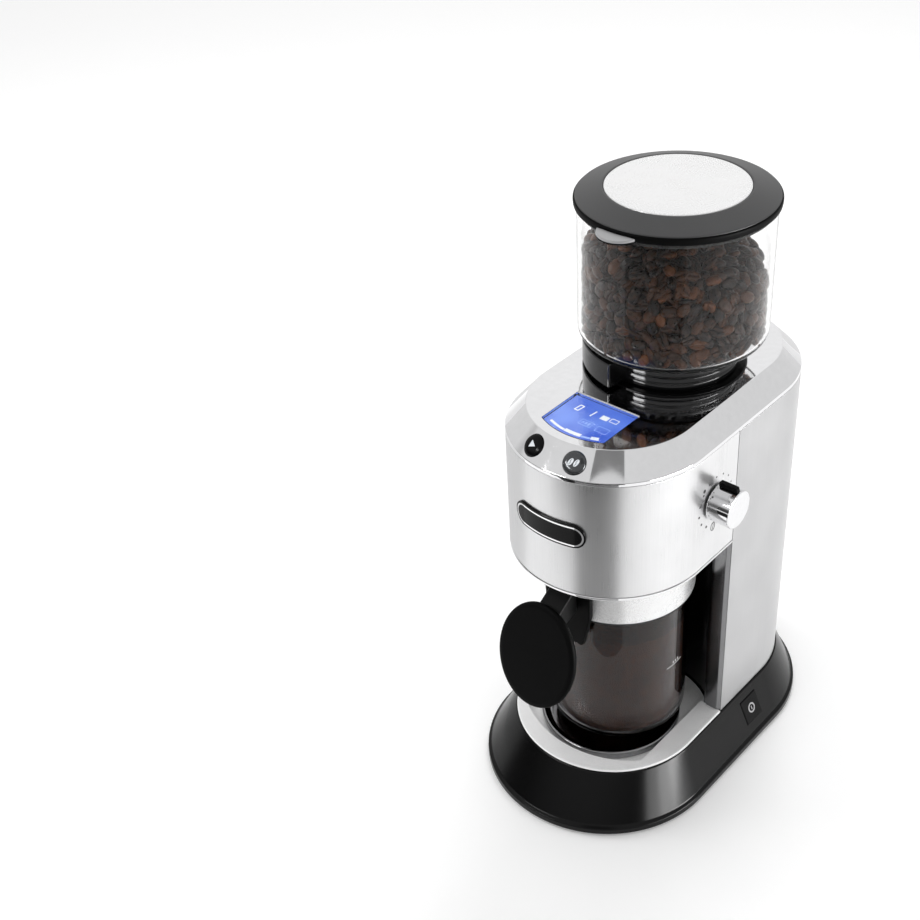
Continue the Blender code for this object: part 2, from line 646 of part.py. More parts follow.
def drive_parts():
    """The motor with its pinion, and the large gear, shaft and cone burr that it turns."""
    gear = [gear_outline(GEAR_TEETH, TOOTH_MODULE, 0), arc(0.0043, 0, 345, 23)]
    extruded("drive_gear", "nylon", gear, GEAR_BOTTOM, GEAR_TOP, (0, BURR_Y, 0))
    rod("burr_shaft", "hard_steel", 0.0040, 0.1835, 0.2300, (0, BURR_Y, 0))
    cone = [
        (0.0070, 0.2290), (0.0110, 0.2250), (0.0240, 0.2090), (0.0270, 0.2060), (0.0270, BURR_BOTTOM),
        (0.0043, BURR_BOTTOM), (0.0043, 0.2290),
    ]
    turned("lower_burr", "hard_steel", cone, (0, BURR_Y, 0), ring=True)

    pinion = [gear_outline(PINION_TEETH, TOOTH_MODULE, 180 / PINION_TEETH), arc(0.0030, 0, 345, 23)]
    extruded("motor_pinion", "hard_steel", pinion, GEAR_BOTTOM, GEAR_TOP, (0, MOTOR_Y, 0))
    rod("motor_shaft", "hard_steel", 0.0027, 0.1660, 0.1905, (0, MOTOR_Y, 0))
    can = [
        (0, 0.1640), (0.0034, 0.1640), (0.0034, 0.1800), (0.0090, 0.1800), (0.0100, 0.1770),
        (0.0290, 0.1770), (0.0300, 0.1750), (0.0300, 0.0980), (0.0290, 0.0960), (0, 0.0960),
    ]
    turned("motor", "motor_can", can, (0, MOTOR_Y, 0), steps=32)


def frame_parts():
    """What carries the motor, the gears and the burrs, and the boards."""
    legs = [
        (-0.0525, 0.0420), (0.0525, 0.0420), (0.0525, 0.1980), (0.0505, 0.1980), (0.0505, 0.0440),
        (-0.0505, 0.0440), (-0.0505, 0.1980), (-0.0525, 0.1980),
    ]
    rings = [[(x, y, z) for x, z in legs] for y in (0.0300, 0.0740)]
    loft("inner_frame", "zinc_plate", rings)
    boss = arc(0.0120, 0, 345, 23, (0, MOTOR_Y))
    extruded("motor_bracket", "zinc_plate", [tapered_plate(0.0360, 0.0330, 0.0950), boss], 0.1806, 0.1826)
    hole = arc(0.0093, 0, 345, 23, (0, BURR_Y))
    extruded("gear_plate", "zinc_plate", [tapered_plate(-0.0120, 0.0180, 0.0880), hole], 0.1915, 0.1950)
    centre = (0, BURR_Y, 0)
    washer("lower_bearing", "hard_steel", 0.0043, 0.0090, 0.1916, 0.1949, centre, steps=SMALL_STEPS)
    washer("upper_bearing", "hard_steel", 0.0043, 0.0090, 0.1955, 0.1985, centre, steps=SMALL_STEPS)

    cup = [
        (0.0355, 0.2155), (0.0355, 0.1954), (0.0093, 0.1954), (0.0093, 0.1986), (0.0325, 0.1986),
        (0.0325, 0.2155),
    ]
    housing = turned("burr_housing", "zinc_plate", cup, centre, ring=True)
    low, high = (-0.0100, -0.0400, 0.1992), (0.0100, -0.0200, 0.2100)
    cut(housing, box("exit_cutter", None, low, high, location=centre))
    chute_part()

    box("control_board", "board_green", (-0.0280, -0.0780, 0.2480), (0.0280, -0.0300, 0.2496))
    box("power_board", "board_green", (-0.0270, 0.0980, 0.0600), (0.0270, 0.0996, 0.1500))
    switch_box("power_switch", "gloss_black", SWITCH_SIDE, -0.0060, 0.0006, 0.0005)


def tapered_plate(front, rear_half, rear):
    """A plate as wide as the frame, drawn in at the rear."""
    half = 0.0500
    shoulder = 0.0740
    right = [(half, front), (half, shoulder), (rear_half, rear)]
    return [(-half, front)] + right + [(-rear_half, rear), (-half, shoulder)]


def chute_part():
    """The hollow chute from the burr housing's exit down to the head's floor."""
    back = BURR_Y - 0.0362
    side = [
        (back, 0.1975), (back, 0.2125), (-0.0300, 0.2060), (-0.0430, 0.1960), (-0.0430, 0.1824),
        (-0.0200, 0.1824), (-0.0200, 0.1900),
    ]
    rings = [[(x, y, z) for y, z in side] for x in (-0.0125, 0.0125)]
    chute = loft("grounds_chute", "satin_black", rings)
    mouth = back + 0.0020  # past the chute's end, so that the cut leaves it open
    bore = [
        (mouth, 0.1992), (mouth, 0.2100), (-0.0290, 0.2040), (-0.0412, 0.1945), (-0.0412, 0.1800),
        (-0.0218, 0.1800), (-0.0218, 0.1910),
    ]
    cut(chute, loft("chute_bore", None, [[(x, y, z) for y, z in bore] for x in (-0.0105, 0.0105)]))


def worm_rings():
    """Rows of points along the worm, whose radius follows a single thread."""
    around = 16
    rows = []
    count = 32
    for i in range(count + 1):
        along = -0.0140 + 0.0280 * i / count
        row = []
        for j in range(around):
            turn = j / around
            phase = (along / WORM_PITCH - turn - 0.5) % 1.0
            away = min(phase, 1 - phase) * WORM_PITCH
            height = max(0.0, min(1.0, (0.0010 - away) / 0.0006))
            radius = WORM_ROOT + height * (WORM_TIP - WORM_ROOT)
            angle = 2 * math.pi * turn
            row.append((along, radius * math.cos(angle), radius * math.sin(angle)))
        rows.append(row)
    return rows


def adjustment_parts():
    """The dial, its shaft and worm, and the toothed ring that carries the upper burr."""
    axis = (0, DIAL_Y, DIAL_Z)
    knob = [
        (0, DIAL_END), (DIAL_RADIUS - 0.0008, DIAL_END), (DIAL_RADIUS, DIAL_END - 0.0008),
        (DIAL_RADIUS, 0.0632), (DIAL_RADIUS - 0.0006, 0.0625), (0.0038, 0.0625), (0.0038, 0.0700),
        (0, 0.0700),
    ]
    turned("grind_knob", "chrome", knob, axis, (1, 0, 0), 28)
    foot = DIAL_RADIUS + GAP
    crest = DIAL_RADIUS + 0.0034
    fin = [(foot, 0.0640), (crest, 0.0640), (crest, 0.0755), (foot, 0.0765)]
    rings = [[(along, y, up) for up, along in fin] for y in (-0.0016, 0.0016)]
    loft("knob_pointer", "satin_black", rings, location=axis)
    rod("knob_shaft", "hard_steel", 0.0035, 0.0144, 0.0696, axis, (1, 0, 0))
    loft("adjust_worm", "hard_steel", worm_rings(), location=axis)

    toothed = []
    pitch = 360 / RING_TEETH
    for i in range(-4, 5):
        for share, radius in ((-0.22, RING_ROOT), (-0.11, RING_TIP), (0.11, RING_TIP), (0.22, RING_ROOT)):
            angle = math.radians(270 + (i + share) * pitch)
            toothed.append((radius * math.cos(angle), radius * math.sin(angle)))
    rest = arc(RING_ROOT, 270 + 5 * pitch, 630 - 5 * pitch, 30)
    bore = arc(0.0310, 0, 350, 35)
    extruded("adjust_ring", "nylon", [toothed + rest, bore], 0.2160, 0.2260, (0, BURR_Y, 0))
    burr = [
        (0.0307, 0.2258), (0.0307, 0.2162), (0.0285, 0.2162), (0.0285, 0.2080), (0.0282, 0.2080),
        (0.0200, 0.2180), (0.0260, 0.2258),
    ]
    turned("upper_burr", "hard_steel", burr, (0, BURR_Y, 0), ring=True)


clear_scene()
PARTS = collection_named("coffee_grinder", hidden=False)
CUTTERS = collection_named("cutters", hidden=True)
base_parts()
column_parts()
head_parts()
top_parts()
hopper_parts()
jar_parts()
drive_parts()
frame_parts()
adjustment_parts()
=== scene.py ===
"""Looks of the burr coffee grinder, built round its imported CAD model.

Metres, +Z up, the front faces -Y. Curved CAD nodes that show are replaced by finer pieces of the same
shape. The others keep their mesh and get a material and eased edges. The beans and the ground coffee are
made only here.
"""

import json
import math

import bmesh
import bpy
import numpy as np
from mathutils import Euler, Matrix, Vector, noise


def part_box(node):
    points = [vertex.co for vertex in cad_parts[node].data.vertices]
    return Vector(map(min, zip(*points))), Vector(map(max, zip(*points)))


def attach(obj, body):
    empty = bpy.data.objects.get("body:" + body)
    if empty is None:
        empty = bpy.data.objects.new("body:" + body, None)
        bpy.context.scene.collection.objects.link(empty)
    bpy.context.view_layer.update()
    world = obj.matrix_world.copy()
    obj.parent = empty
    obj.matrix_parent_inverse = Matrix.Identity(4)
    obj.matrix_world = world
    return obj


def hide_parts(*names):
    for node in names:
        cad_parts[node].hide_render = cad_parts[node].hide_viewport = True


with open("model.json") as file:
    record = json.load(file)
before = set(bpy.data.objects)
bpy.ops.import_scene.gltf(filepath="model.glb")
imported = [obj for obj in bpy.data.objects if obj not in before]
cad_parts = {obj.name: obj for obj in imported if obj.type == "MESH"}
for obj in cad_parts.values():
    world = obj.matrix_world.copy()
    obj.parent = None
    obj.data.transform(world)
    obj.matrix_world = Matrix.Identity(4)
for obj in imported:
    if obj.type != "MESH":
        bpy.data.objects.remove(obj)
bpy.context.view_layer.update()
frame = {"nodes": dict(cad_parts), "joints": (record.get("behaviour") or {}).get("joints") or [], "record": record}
NODES = frame["nodes"]
JOINTS = {joint["name"]: joint for joint in frame["joints"]}


def low(node):
    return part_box(node)[0]


def high(node):
    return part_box(node)[1]


def middle(node):
    return (low(node) + high(node)) / 2


GAP = 0.0003  # between pieces that would otherwise touch
UP = (0, 0, 1)
ARC = 72  # facets of each half circle of the casing
ROUND = 160  # facets of a large turned piece
FINE = 64  # facets of a small one

BODY_HALF = high("column_shell").x
BODY_FRONT = low("head_shell").y
BODY_REAR = high("column_shell").y
SEAM_Y = high("head_shell").y + GAP
HEAD_BOTTOM = low("head_shell").z
HEAD_TOP = high("head_shell").z
BASE_HALF = high("base_shell").x
BASE_REACH = high("base_shell").y
BASE_BOTTOM = low("base_shell").z
BASE_TOP = high("base_shell").z
BASE_LEDGE = BASE_BOTTOM + 0.0050
DECK_TOP = high("base_deck").z
COVER_BOTTOM = low("top_cover").z
COVER_EDGE = COVER_BOTTOM + 0.0020
COVER_TOP = high("top_cover").z
PLATE_HALF, PLATE_FRONT, PLATE_REAR = 0.0504, -0.0867, 0.0967  # the cover's flat top
BUTTON_Z, BUTTON_SIDE = 0.2655, 0.0140  # of both buttons, on the cover's slope
SOCKET_BORE = 0.0439  # of the cover, round the hopper's socket
BURR_Y = middle("hopper_bin").y
BIN_RADIUS = high("hopper_bin").x
BIN_BOTTOM = low("hopper_bin").z
BIN_TOP = high("hopper_bin").z
BIN_WALL = 0.0022
BIN_INSIDE = BIN_RADIUS - BIN_WALL
LID_RADIUS = high("hopper_lid").x
DISC_RADIUS = high("lid_disc").x
LID_TOP = high("hopper_lid").z
NECK_RADIUS, NECK_COLLAR, NECK_BOTTOM = 0.0380, 0.0390, 0.2480
GROOVES = (0.2870, 0.2820, 0.2780)  # heights of the collar's grooves
GRIP_RADIUS, GRIP_START, GRIP_END = 0.0525, 205, 262
WELL_CURVE = 0.0700  # of the front of the well that the tray lies in
JAR_Y = middle("jar_glass").y
JAR_RADIUS = high("jar_glass").x
JAR_BOTTOM = low("jar_glass").z
JAR_RIM = high("jar_glass").z
JAR_WALL = 0.0022
COLLAR_RADIUS = high("jar_collar").x
COLLAR_BOTTOM = low("jar_collar").z
COLLAR_TOP = high("jar_collar").z
DIAL_Y, DIAL_Z = middle("grind_knob").y, middle("grind_knob").z
DIAL_RADIUS = (high("grind_knob").y - low("grind_knob").y) / 2
DIAL_END = high("grind_knob").x


# Materials. Every one varies in colour, in roughness and in height over the surface, by its own grain.


EVEN = (1, 1, 1)
BRUSHED = (1, 1, 0.004)  # stretches a grain along Z


def new_tree(name):
    material = bpy.data.materials.new(name)
    material.use_nodes = True
    tree = material.node_tree
    return material, tree, tree.nodes["Principled BSDF"]


def set_sockets(node, **values):
    """Set sockets of a node, each named with _ for a space."""
    for socket, value in values.items():
        node.inputs[socket.replace("_", " ")].default_value = value


def add(tree, kind, **values):
    node = tree.nodes.new(f"ShaderNode{kind}")
    set_sockets(node, **values)
    return node


def grain_of(tree, scale, stretch=EVEN, detail=3, rough=0.5, kind="TexNoise"):
    """The output of a texture in the piece's own space, scale features to the metre."""
    mapping = add(tree, "Mapping", Scale=stretch)
    texture = add(tree, kind, Scale=scale)
    if kind == "TexNoise":
        set_sockets(texture, Detail=detail, Roughness=rough)
    tree.links.new(add(tree, "TexCoord").outputs["Object"], mapping.inputs["Vector"])
    tree.links.new(mapping.outputs["Vector"], texture.inputs["Vector"])
    return texture.outputs[0]


def spread(tree, value, start, end, low_in=0.25, high_in=0.75):
    """The value, from low_in to high_in, as one from start to end."""
    node = add(tree, "MapRange", From_Min=low_in, From_Max=high_in, To_Min=start, To_Max=end)
    tree.links.new(value, node.inputs["Value"])
    return node.outputs["Result"]


def blended(tree, value, first, second, low_in=0.25, high_in=0.75):
    """The first colour at low_in, turning into the second at high_in."""
    node = add(tree, "Mix")
    node.data_type = "RGBA"
    set_sockets(node, A=(*first, 1), B=(*second, 1))
    tree.links.new(spread(tree, value, 0, 1, low_in, high_in), node.inputs["Factor"])
    return node.outputs["Result"]


def summed(tree, first, second):
    node = add(tree, "Math")
    node.operation = "ADD"
    for value, socket in zip((first, second), node.inputs):
        tree.links.new(value, socket)
    return node.outputs[0]


def bumped(tree, shader, height, strength, distance):
    bump = add(tree, "Bump", Strength=strength, Distance=distance)
    tree.links.new(height, bump.inputs["Height"])
    tree.links.new(bump.outputs["Normal"], shader.inputs["Normal"])


def surface(
    name, dark, light, roughness, scale, stretch=EVEN, bump=0.1, depth=0.0001, metallic=0.0, **sockets
):
    """A finish whose colour and roughness follow a fine and a slow grain, and its height the fine one."""
    material, tree, shader = new_tree(name)
    fine = grain_of(tree, scale, stretch)
    slow = grain_of(tree, 35, detail=2)
    both = summed(tree, spread(tree, fine, 0, 0.6), spread(tree, slow, 0, 0.4))
    tree.links.new(blended(tree, both, dark, light, 0, 1), shader.inputs["Base Color"])
    tree.links.new(spread(tree, both, *roughness, 0, 1), shader.inputs["Roughness"])
    bumped(tree, shader, fine, bump, depth)
    set_sockets(shader, Metallic=metallic, **sockets)
    return material


def glass(name, colour, roughness, ior):
    """A clear moulded plastic with faint waves in its walls."""
    material, tree, shader = new_tree(name)
    waves = grain_of(tree, 60, detail=2)
    tree.links.new(spread(tree, waves, *roughness), shader.inputs["Roughness"])
    bumped(tree, shader, waves, 0.04, 0.0002)
    set_sockets(shader, Base_Color=(*colour, 1), Transmission_Weight=1, IOR=ior)
    return material


def lit(name, dark, light, strength, scale):
    """A surface that glows, a little unevenly."""
    material, tree, shader = new_tree(name)
    uneven = grain_of(tree, scale, detail=1)
    tree.links.new(blended(tree, uneven, dark, light), shader.inputs["Emission Color"])
    tree.links.new(spread(tree, uneven, 0.25, 0.35), shader.inputs["Roughness"])
    set_sockets(shader, Base_Color=(0.01, 0.01, 0.01, 1), Emission_Strength=strength)
    return material


def bean_material():
    """Dark roast with an oily sheen, each bean a little lighter or darker by its tone."""
    material, tree, shader = new_tree("coffee_beans")
    tone = add(tree, "Attribute")
    tone.attribute_name = "tone"
    mottle = grain_of(tree, 420, detail=3)
    total = summed(tree, spread(tree, tone.outputs["Fac"], 0, 0.75, 0, 1), spread(tree, mottle, 0, 0.25))
    colour = blended(tree, total, (0.0032, 0.0013, 0.0007), (0.180, 0.056, 0.012), 0.12, 1)
    tree.links.new(colour, shader.inputs["Base Color"])
    tree.links.new(spread(tree, mottle, 0.24, 0.38), shader.inputs["Roughness"])
    bumped(tree, shader, grain_of(tree, 2600, detail=2), 0.20, 0.0001)
    set_sockets(shader, Specular_IOR_Level=0.22)
    return material


def ground_material():
    """Loose brown grains, with some redder and lighter ones among them."""
    material, tree, shader = new_tree("ground_coffee")
    cells = grain_of(tree, 1500, kind="TexVoronoi")
    speckle = grain_of(tree, 1100, detail=4, rough=0.7)
    patches = grain_of(tree, 60, detail=3)
    total = summed(tree, spread(tree, speckle, 0, 0.80, 0.45, 0.62), spread(tree, patches, 0, 0.25))
    colour = blended(tree, total, (0.0022, 0.0011, 0.0007), (0.110, 0.032, 0.009), 0.1, 1)
    tree.links.new(colour, shader.inputs["Base Color"])
    tree.links.new(spread(tree, speckle, 0.75, 0.95), shader.inputs["Roughness"])
    bumped(tree, shader, cells, 0.9, 0.0006)
    set_sockets(shader, Specular_IOR_Level=0.15)
    return material


def grey(shade, blue=0.0):
    """A grey, with a little more blue than red and green."""
    return shade, shade, shade + blue


# Darkest and lightest colour, roughness, grains to the metre, their stretch, bump, its depth and metallic.
FINISHES = {
    "brushed_steel": (grey(0.66, 0.005), grey(0.76, 0.005), (0.24, 0.36), 4200, BRUSHED, 0.05, 0.00003, 1),
    "column_steel": (grey(0.46, 0.005), grey(0.54, 0.005), (0.28, 0.40), 4200, BRUSHED, 0.05, 0.00003, 1),
    "chrome": (grey(0.84, 0.01), grey(0.90, 0.01), (0.035, 0.075), 260, EVEN, 0.02, 0.00005, 1),
    "dark_chrome": (grey(0.20, 0.005), grey(0.27, 0.005), (0.16, 0.24), 4200, BRUSHED, 0.05, 0.00003, 1),
    "satin_silver": (grey(0.74, 0.01), grey(0.84, 0.01), (0.22, 0.32), 3800, EVEN, 0.08, 0.00003, 1),
    "deck_silver": (grey(0.92), grey(0.96), (0.24, 0.32), 3000, EVEN, 0.02, 0.00002, 0.12),
    # The tray's chrome is painted dark: a painted reflection of the black bay behind it.
    "tray_chrome_painted_dark": (grey(0.24, 0.005), grey(0.32, 0.005), (0.05, 0.10), 260, EVEN, 0.02, 0.00005, 1),
    "disc_silver": (grey(0.84), grey(0.90), (0.24, 0.32), 3000, EVEN, 0.02, 0.00002, 0.55),
    "gloss_black": (grey(0.0020, 0.0001), grey(0.0035, 0.0002), (0.10, 0.16), 700, EVEN, 0.03, 0.00005),
    "neck_black": (grey(0.0030, 0.0002), grey(0.0060, 0.0005), (0.10, 0.15), 700, EVEN, 0.03, 0.00005),
    "skirt_black": (grey(0.0012, 0.0001), grey(0.0024, 0.0002), (0.16, 0.23), 1400, EVEN, 0.04, 0.00004),
    "satin_black": (grey(0.0016, 0.0001), grey(0.0034, 0.0002), (0.40, 0.55), 3200, EVEN, 0.22),
    "arm_black": (grey(0.0050, 0.0002), grey(0.0085, 0.0003), (0.36, 0.48), 3200, EVEN, 0.14, 0.00008),
    "dark_grey": (grey(0.046, 0.001), grey(0.062, 0.001), (0.36, 0.48), 3200, EVEN, 0.14, 0.00008),
    # The lid tab's light grey is a painted sheen: it stands in for the bright sky that its flat top reflects, on
    # an otherwise dark lid.
    "tab_grey_painted_sheen": (grey(0.30, 0.005), grey(0.36, 0.005), (0.30, 0.42), 3200, EVEN, 0.12, 0.00008),
    "button_grey": (
        (0.045, 0.048, 0.052), (0.075, 0.078, 0.082), (0.10, 0.18), 900, EVEN, 0.03, 0.00005, 0.6,
    ),
    "print_grey": (grey(0.42, 0.01), grey(0.52, 0.01), (0.40, 0.55), 1800, EVEN, 0.05),
    "print_dark": (grey(0.020, 0.001), grey(0.032, 0.001), (0.40, 0.55), 1800, EVEN, 0.05),
    "print_light": (grey(0.66), grey(0.78), (0.45, 0.60), 1800, EVEN, 0.05),
    "hard_steel": (grey(0.38, 0.01), grey(0.50, 0.01), (0.28, 0.42), 1600, EVEN, 0.15, 0.00006, 1),
    "nylon": ((0.74, 0.71, 0.63), (0.84, 0.82, 0.76), (0.40, 0.52), 900, EVEN, 0.12),
    "zinc_plate": ((0.46, 0.47, 0.48), (0.60, 0.61, 0.62), (0.32, 0.50), 240, EVEN, 0.10, 0.0001, 1),
    "motor_can": ((0.20, 0.21, 0.22), (0.32, 0.33, 0.34), (0.40, 0.60), 900, EVEN, 0.25, 0.0001, 0.9),
    "board_green": ((0.012, 0.110, 0.045), (0.030, 0.200, 0.085), (0.35, 0.50), 300, EVEN, 0.20),
    "rubber": (grey(0.014), grey(0.028), (0.75, 0.92), 2400, EVEN, 0.35, 0.00015),
}
# What a finish sets besides.
SOCKETS = {
    "gloss_black": {"Specular_IOR_Level": 0.12}, "skirt_black": {"Specular_IOR_Level": 0.20},
    "satin_black": {"Specular_IOR_Level": 0.05}, "arm_black": {"Specular_IOR_Level": 0.12},
    "dark_grey": {"Specular_IOR_Level": 0.35}, "button_grey": {"Coat_Weight": 0.5, "Coat_Roughness": 0.05},
}
MATERIALS = {name: surface(name, *row, **SOCKETS.get(name, {})) for name, row in FINISHES.items()}
MATERIALS |= {
    "clear": glass("clear", grey(0.985), (0.0, 0.006), 1.25),
    "smoked": glass("smoked", (0.76, 0.75, 0.76), (0.0, 0.008), 1.32),
    "window": glass("window", (0.97, 0.98, 1.0), (0.0, 0.01), 1.30),
    "lcd_blue": lit("lcd_blue", (0.055, 0.13, 0.68), (0.19, 0.34, 0.95), 1.0, 40),
    "lcd_pale": lit("lcd_pale", (0.30, 0.45, 1.0), (0.40, 0.58, 1.0), 1.0, 200),
    "lcd_white": lit("lcd_white", (0.82, 0.90, 1.0), (1.0, 1.0, 1.0), 1.0, 500),
    "icon_white": lit("icon_white", (0.78, 0.84, 0.90), (0.95, 0.97, 1.0), 0.85, 900),
    "coffee_beans": bean_material(),
    "ground_coffee": ground_material(),
}


# Mesh helpers. Each returns a mesh, and piece() makes the object.


def linked(name, data):
    """A new object in the scene."""
    obj = bpy.data.objects.new(name, data)
    bpy.context.scene.collection.objects.link(obj)
    return obj


def mesh_of(points, faces):
    mesh = bpy.data.meshes.new("piece")
    bm = bmesh.new()
    verts = [bm.verts.new(point) for point in points]
    for face in faces:
        bm.faces.new([verts[i] for i in face])
    bmesh.ops.recalc_face_normals(bm, faces=bm.faces)
    bm.to_mesh(mesh)
    bm.free()
    return mesh


def rounded(points, radius, closed=False, steps=4):
    """The same line with each corner eased from radius before it to radius after it."""
    points = [np.array(point, float) for point in points]
    reach = radius if isinstance(radius, (list, tuple)) else [radius] * len(points)
    result = []
    for i, point in enumerate(points):
        ends = not closed and i in (0, len(points) - 1)
        if ends or reach[i] <= 0:
            result.append(point)
            continue
        before, after = points[i - 1] - point, points[(i + 1) % len(points)] - point
        size = min(reach[i], 0.48 * np.linalg.norm(before), 0.48 * np.linalg.norm(after))
        start = point + before / np.linalg.norm(before) * size
        end = point + after / np.linalg.norm(after) * size
        for k in range(steps + 1):
            t = k / steps
            result.append((1 - t) ** 2 * start + 2 * t * (1 - t) * point + t * t * end)
    return result


def turned(profile, centre=(0, 0, 0), direction=UP, steps=ROUND, ring=False):
    """Turn (radius, height) points about an axis through centre."""
    turn = Vector(UP).rotation_difference(Vector(direction)).to_matrix()
    points, rows = [], []
    for radius, height in profile:
        count = 1 if radius < 1e-7 else steps
        rows.append(range(len(points), len(points) + count))
        for i in range(count):
            angle = 2 * math.pi * i / steps
            spot = Vector((radius * math.cos(angle), radius * math.sin(angle), height))
            points.append(turn @ spot + Vector(centre))
    pairs = list(zip(rows, rows[1:])) + ([(rows[-1], rows[0])] if ring else [])
    faces = []
    for one, two in pairs:
        for i in range(steps):
            j = (i + 1) % steps
            if len(one) == 1:
                faces.append((one[0], two[j], two[i]))
            elif len(two) == 1:
                faces.append((one[i], one[j], two[0]))
            else:
                faces.append((one[i], one[j], two[j], two[i]))
    return mesh_of(points, faces)


def loft(rings, loop=False):
    """Skin a stack of closed outlines of equal length, capped unless it loops."""
    count = len(rings[0])
    points = [point for ring in rings for point in ring]
    pairs = [(i, i + 1) for i in range(len(rings) - 1)] + ([(len(rings) - 1, 0)] if loop else [])
    faces = []
    for one, two in pairs:
        for i in range(count):
            j = (i + 1) % count
            faces.append((one * count + i, one * count + j, two * count + j, two * count + i))
    if not loop:
        faces.append(tuple(reversed(range(count))))
        faces.append(tuple(range((len(rings) - 1) * count, len(rings) * count)))
    return mesh_of(points, faces)


def hoop(points, radii, centre, direction=UP, steps=ROUND, ease=4):
    """A turned ring whose closed section has eased corners."""
    return turned(rounded(points, radii, closed=True, steps=ease), centre, direction, steps, ring=True)


def plug(radius, start, end, centre, direction=UP, steps=FINE):
    """A cutter for a round hole, from start to end along its axis."""
    return turned([(0, start), (radius, start), (radius, end), (0, end)], centre, direction, steps)


def arc(radius, start, end, steps, centre=(0, 0)):
    """Points of an arc, its angles in degrees from +X."""
    angles = [math.radians(start + (end - start) * i / steps) for i in range(steps + 1)]
    return [(centre[0] + radius * math.cos(a), centre[1] + radius * math.sin(a)) for a in angles]


def level(outline, z):
    return [(x, y, z) for x, y in outline]


def drawn(outline, bottom, top):
    """An outline carried up from one height to another."""
    return loft([level(outline, bottom), level(outline, top)])


def oval(half, front, rear):
    return arc(half, 180, 360, ARC, (0, front + half)) + arc(half, 0, 180, ARC, (0, rear - half))


def ovals(rows):
    """The rings of (half, front, rear, z) rows."""
    return [level(oval(half, front, rear), z) for half, front, rear, z in rows]


def round_front(half, front, back):
    return arc(half, 180, 360, ARC, (0, front + half)) + [(half, back), (-half, back)]


def front_wall(half, front, back, thickness):
    """The outline of a wall round the front, open at the back."""
    outer = [(-half, back)] + arc(half, 180, 360, ARC, (0, front + half)) + [(half, back)]
    inner_half = half - thickness
    inner = arc(inner_half, 360, 180, ARC, (0, front + half))
    return outer + [(inner_half, back)] + inner + [(-inner_half, back)]


def rear_wall(half, rear, front_edge, thickness):
    """The outline of a wall round the rear, open at the front."""
    outer = [(half, front_edge)] + arc(half, 0, 180, ARC, (0, rear - half)) + [(-half, front_edge)]
    inner_half = half - thickness
    inner = arc(inner_half, 180, 0, ARC, (0, rear - half))
    return outer + [(-inner_half, front_edge)] + inner + [(inner_half, front_edge)]


def bay_curve(half, depth, start, end):
    """Points of the half oval that the bay's wall follows, behind the seam."""
    return [(half * x, SEAM_Y + depth * y) for x, y in arc(1, start, end, ARC)]


def bay_floor(half, rear_half, front):
    """The outline of the well under the jar."""
    reach = math.degrees(math.asin(half / WELL_CURVE))
    shallow = arc(WELL_CURVE, 270 - reach, 270 + reach, ARC, (0, front + WELL_CURVE))
    outline = shallow + [(half, SEAM_Y - 0.0013)] + bay_curve(rear_half, 0.0215, 0, 180)
    return outline + [(-half, SEAM_Y - 0.0013)]


def carved(mesh, cutters, operation="DIFFERENCE"):
    """The mesh after a Boolean with each of the others."""
    body = linked("body", mesh)
    tools = [linked("tool", cutter) for cutter in cutters]
    for tool in tools:
        step = body.modifiers.new("Boolean", "BOOLEAN")
        step.operation = operation
        step.solver = "EXACT"
        step.object = tool
    bpy.context.view_layer.update()
    graph = bpy.context.evaluated_depsgraph_get()
    result = bpy.data.meshes.new_from_object(body.evaluated_get(graph))
    for obj in [body, *tools]:
        bpy.data.objects.remove(obj)
    return result


def placed(mesh, place, direction=UP):
    turn = Vector(UP).rotation_difference(Vector(direction)).to_matrix().to_4x4()
    mesh.transform(Matrix.Translation(Vector(place)) @ turn)
    return mesh


def block(low_corner, high_corner):
    (x0, y0, z0), (x1, y1, z1) = low_corner, high_corner
    return loft([[(x0, y0, z), (x1, y0, z), (x1, y1, z), (x0, y1, z)] for z in (z0, z1)])


def eased(obj, width):
    edge = obj.modifiers.new("Edge", "BEVEL")
    edge.width = width
    edge.segments = 3
    edge.limit_method = "ANGLE"
    edge.angle_limit = math.radians(30)
    edge.harden_normals = False


def weighted(obj):
    normals = obj.modifiers.new("Normals", "WEIGHTED_NORMAL")
    normals.weight = 50
    normals.keep_sharp = True


def piece(name, mesh, finish, body, *nodes, bevel=0.0, sharp=32):
    """Make an object of a mesh, on its body, in its finish, in place of any CAD nodes named."""
    obj = linked(name, mesh)
    mesh.name = name
    mesh.materials.clear()
    mesh.materials.append(MATERIALS[finish])
    mesh.shade_smooth()
    mesh.set_sharp_from_angle(angle=math.radians(sharp))
    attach(obj, body)
    if nodes:
        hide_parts(*nodes)
    if bevel:
        eased(obj, bevel)
    weighted(obj)


# The base.


